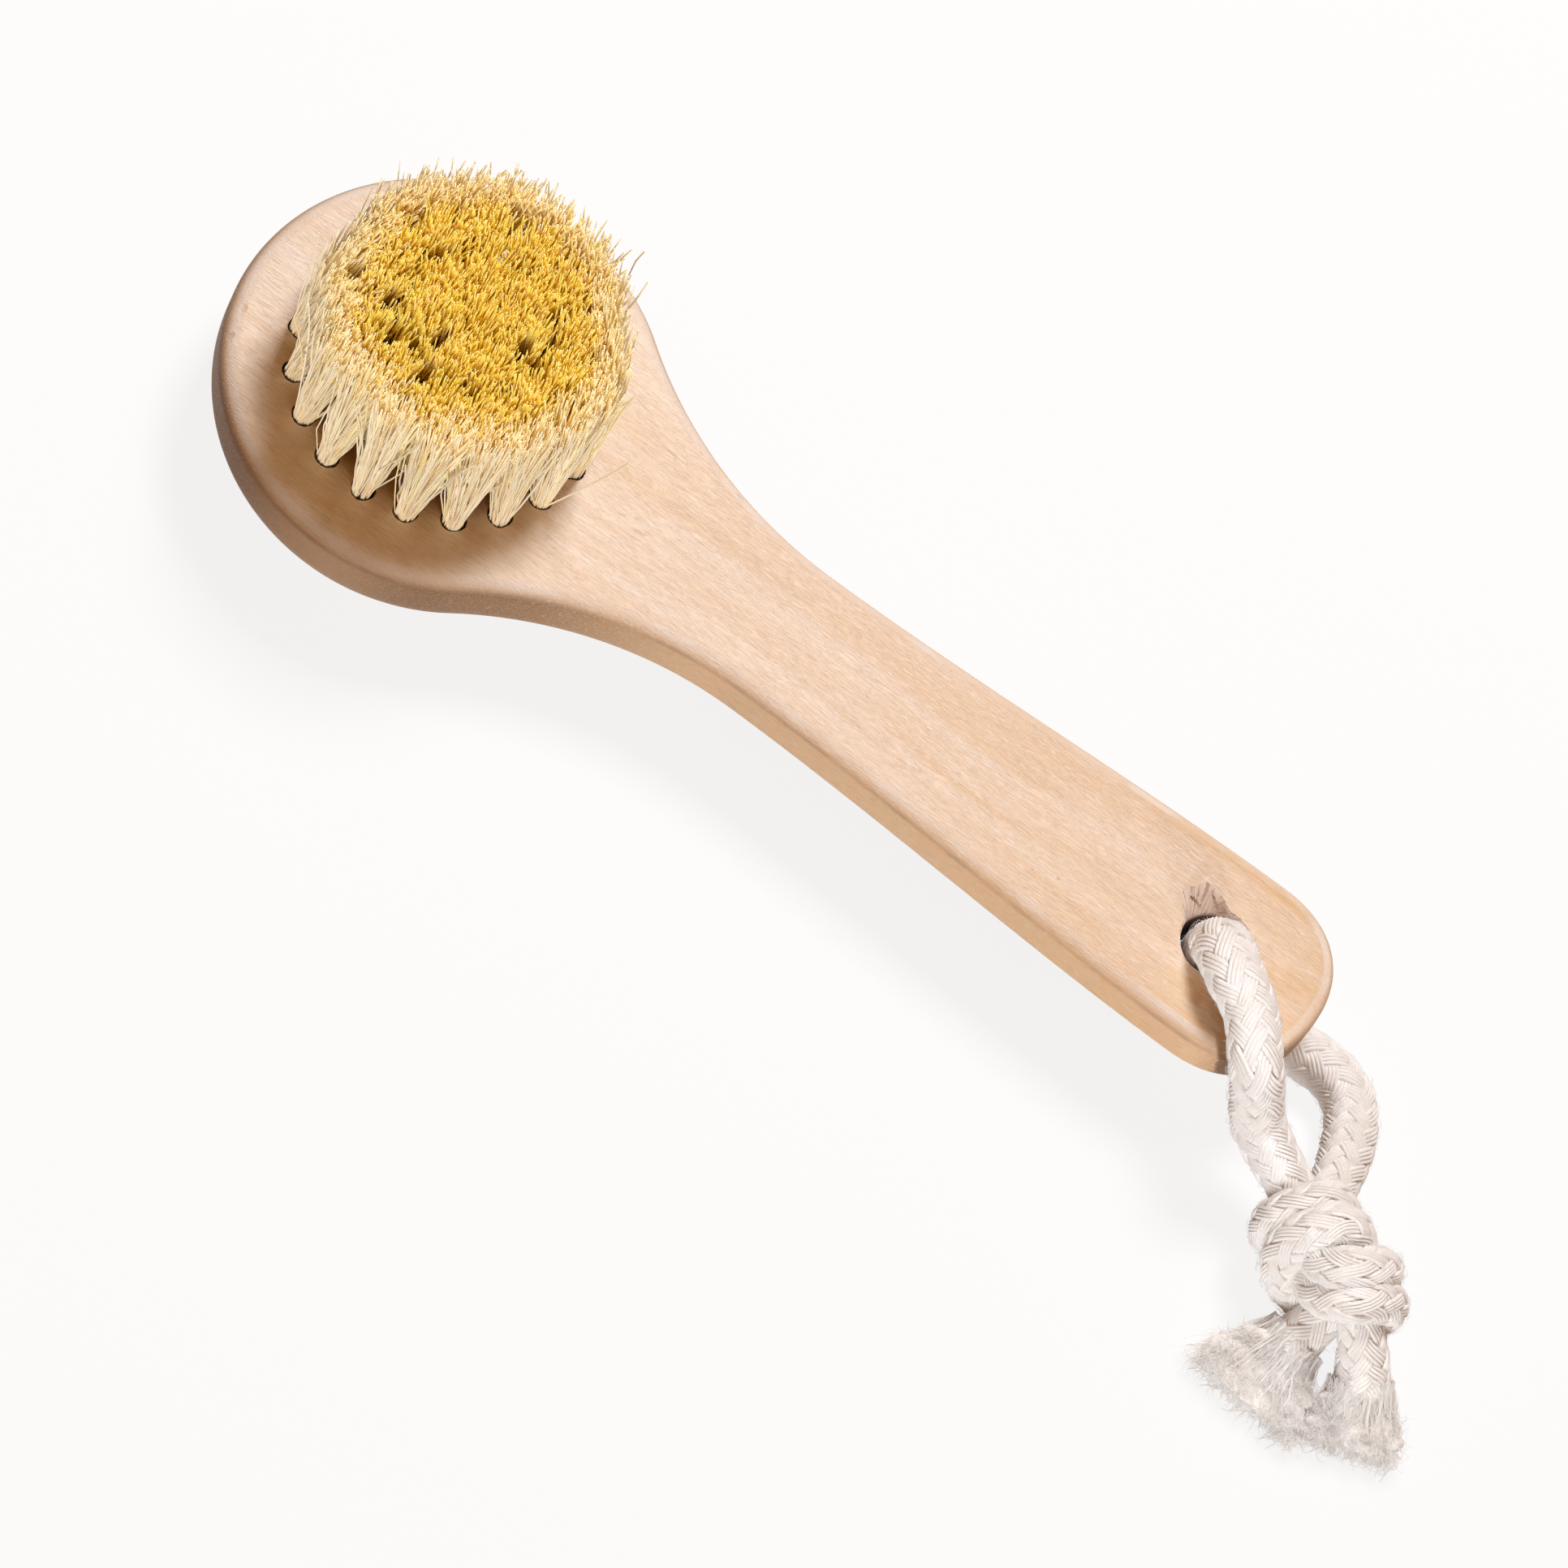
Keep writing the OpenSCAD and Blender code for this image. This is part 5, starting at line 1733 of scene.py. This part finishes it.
@dataclass
class Studio:
    """The white table, the lights and the camera of the photograph."""

    camera_at: Triple = (0.042362, -0.492706, 0.958037)  # the camera's place
    camera_turn: Triple = (23.07118, -14.19866, 33.77865)  # the camera's turn, in degrees
    lens: float = 207.7  # focal length, in millimetres
    sensor_w: float = 36.0  # width of the sensor, in millimetres
    clip: Pair = (0.05, 20.0)  # the nearest and furthest that the camera sees
    floor_size: float = 3.0  # width of the table
    floor_white: Colour = (0.96, 0.96, 0.96)  # colour of the table to the camera
    floor_bounce: Colour = (0.16, 0.12, 0.09)  # colour by which it throws light back under the brush
    cord_bounce: Colour = (0.90, 0.91, 0.92)  # the same near the cord
    # Places along the brush between which the one becomes the other.
    cord_range: Pair = (55.0 * MM, 85.0 * MM)
    floor_rough: float = 0.9  # roughness of the table
    floor_specular: float = 0.1  # specular level of the table
    # How much of the white comes from the table itself, so that shadows are faint.
    shine_through: float = 0.86
    fibre_bounces: int = 24  # bounces of light among the fibres
    # The lamp behind the brush.
    key: Lamp = Lamp("key", (-0.08, 0.56, 1.05), (0.0, 0.0, 0.01), 0.34, 12.0, (0.975, 0.99, 1.0))
    # A low gridded lamp for the handle's side, which the wood alone receives.
    fill: Lamp = Lamp("fill", (0.60, -0.52, 0.08), (0.028, -0.012, 0.005), 0.06, 0.022,
                      (1.0, 0.96, 0.92), spread=11.5)
    # A lamp that stands for the light that real hairs let through.
    through_bristle: Lamp = Lamp("through_bristle", (0.08, -0.98, 0.70), (-0.05, 0.0, 0.03), 0.5, 11.0,
                                 (0.98, 0.99, 1.0))
    # The same for the cord's yarns.
    through_cotton: Lamp = Lamp("through_cotton", (0.18, -0.95, 0.34), (0.09, -0.03, 0.0), 0.5, 7.6,
                                (0.92, 0.97, 1.0))
    world_colour: Colour = (1.0, 0.46, 0.13)  # colour of the dim room
    world_strength: float = 0.24  # its strength

    def camera(self) -> None:
        """Set the camera at the photograph's place."""
        data = bpy.data.cameras.new("photo_camera")
        data.lens, data.sensor_width = self.lens, self.sensor_w
        data.clip_start, data.clip_end = self.clip
        camera = bpy.data.objects.new("photo_camera", data)
        camera.location = self.camera_at
        camera.rotation_euler = Euler(np.radians(self.camera_turn))
        bpy.context.scene.collection.objects.link(camera)
        bpy.context.scene.camera = camera

    def floor(self) -> None:
        """A pale floor that the camera sees as white with a faint shadow."""
        s = Shade("white_table")
        rays = s.add("LightPath").outputs
        mirrored = s.math("MAXIMUM", rays["Is Glossy Ray"], rays["Is Transmission Ray"])
        seen = s.math("MAXIMUM", rays["Is Camera Ray"], mirrored)
        bounce = s.mix(s.between(s.parts()[0], *self.cord_range), self.floor_bounce, self.cord_bounce)
        s.dress(Base_Color=s.mix(seen, bounce, self.floor_white), Roughness=self.floor_rough,
                Specular_IOR_Level=self.floor_specular)
        glow = s.add("Emission", Color=(1.0, 1.0, 1.0), Strength=1.0)
        mixed = s.add("MixShader", Fac=s.math("MULTIPLY", seen, self.shine_through))
        s.put(mixed.inputs[1], s.surface.outputs[0])
        s.put(mixed.inputs[2], glow.outputs[0])
        s.put(s.output.inputs["Surface"], mixed.outputs[0])
        square = np.array([[-1, -1, 0], [1, -1, 0], [1, 1, 0], [-1, 1, 0]]) * self.floor_size / 2
        floor = Surface(square, np.arange(4), np.array([0])).to_object("table_top", [s.material])

    def room(self) -> None:
        """A warm dim room."""
        world = bpy.data.worlds.new("warm_room")
        world.use_nodes = True
        back = world.node_tree.nodes["Background"]
        back.inputs["Color"].default_value = (*self.world_colour, 1.0)
        back.inputs["Strength"].default_value = self.world_strength
        bpy.context.scene.world = world

    def light_pieces(self, wood: bpy.types.Object, bristles: Sequence[bpy.types.Object],
                     cotton: Sequence[bpy.types.Object]) -> None:
        """Hang the lamps that only some pieces receive.

        Args:
            wood: The wooden body.
            bristles: The pieces of bristle.
            cotton: The pieces of cotton.
        """
        self.fill.hang([wood])
        self.through_bristle.hang(bristles)
        self.through_cotton.hang(cotton)

    def build(self) -> None:
        """Set up the table, the key lamp, the room, the camera and the plain colour view."""
        self.camera()
        self.floor()
        self.key.hang()
        self.room()
        scene = bpy.context.scene
        scene.view_settings.view_transform = "Standard"
        scene.cycles.max_bounces = self.fibre_bounces
        scene.cycles.diffuse_bounces = self.fibre_bounces


def clear_startup() -> None:
    """Remove what the empty file came with, so that only the frame is left."""
    kept = {*frame["nodes"].values(), *frame["bodies"].values()}
    for thing in [o for o in bpy.data.objects if o not in kept]:
        bpy.data.objects.remove(thing)


def main() -> None:
    logging.basicConfig(level=logging.INFO, format="%(message)s")
    clear_startup()
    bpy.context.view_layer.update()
    studio = Studio()
    studio.build()
    body = WoodenBody()
    cord = HangingCord(CordRoute(body))
    cotton = cord.build()
    field_of_tufts = BristleField(body)
    wood = body.build(field_of_tufts.centres())
    bristles = field_of_tufts.build()
    studio.light_pieces(wood, bristles, cotton)
    pieces = [*cotton, wood, *bristles]
    anchors = frame["nodes"]["tuft_anchors"]
    anchors.data.materials.clear()
    anchors.data.materials.append(SteelFinish().make())
    for piece in pieces:
        LOG.info("%s: %d faces", piece.name, len(piece.data.polygons))


if __name__ == "__main__":
    main()
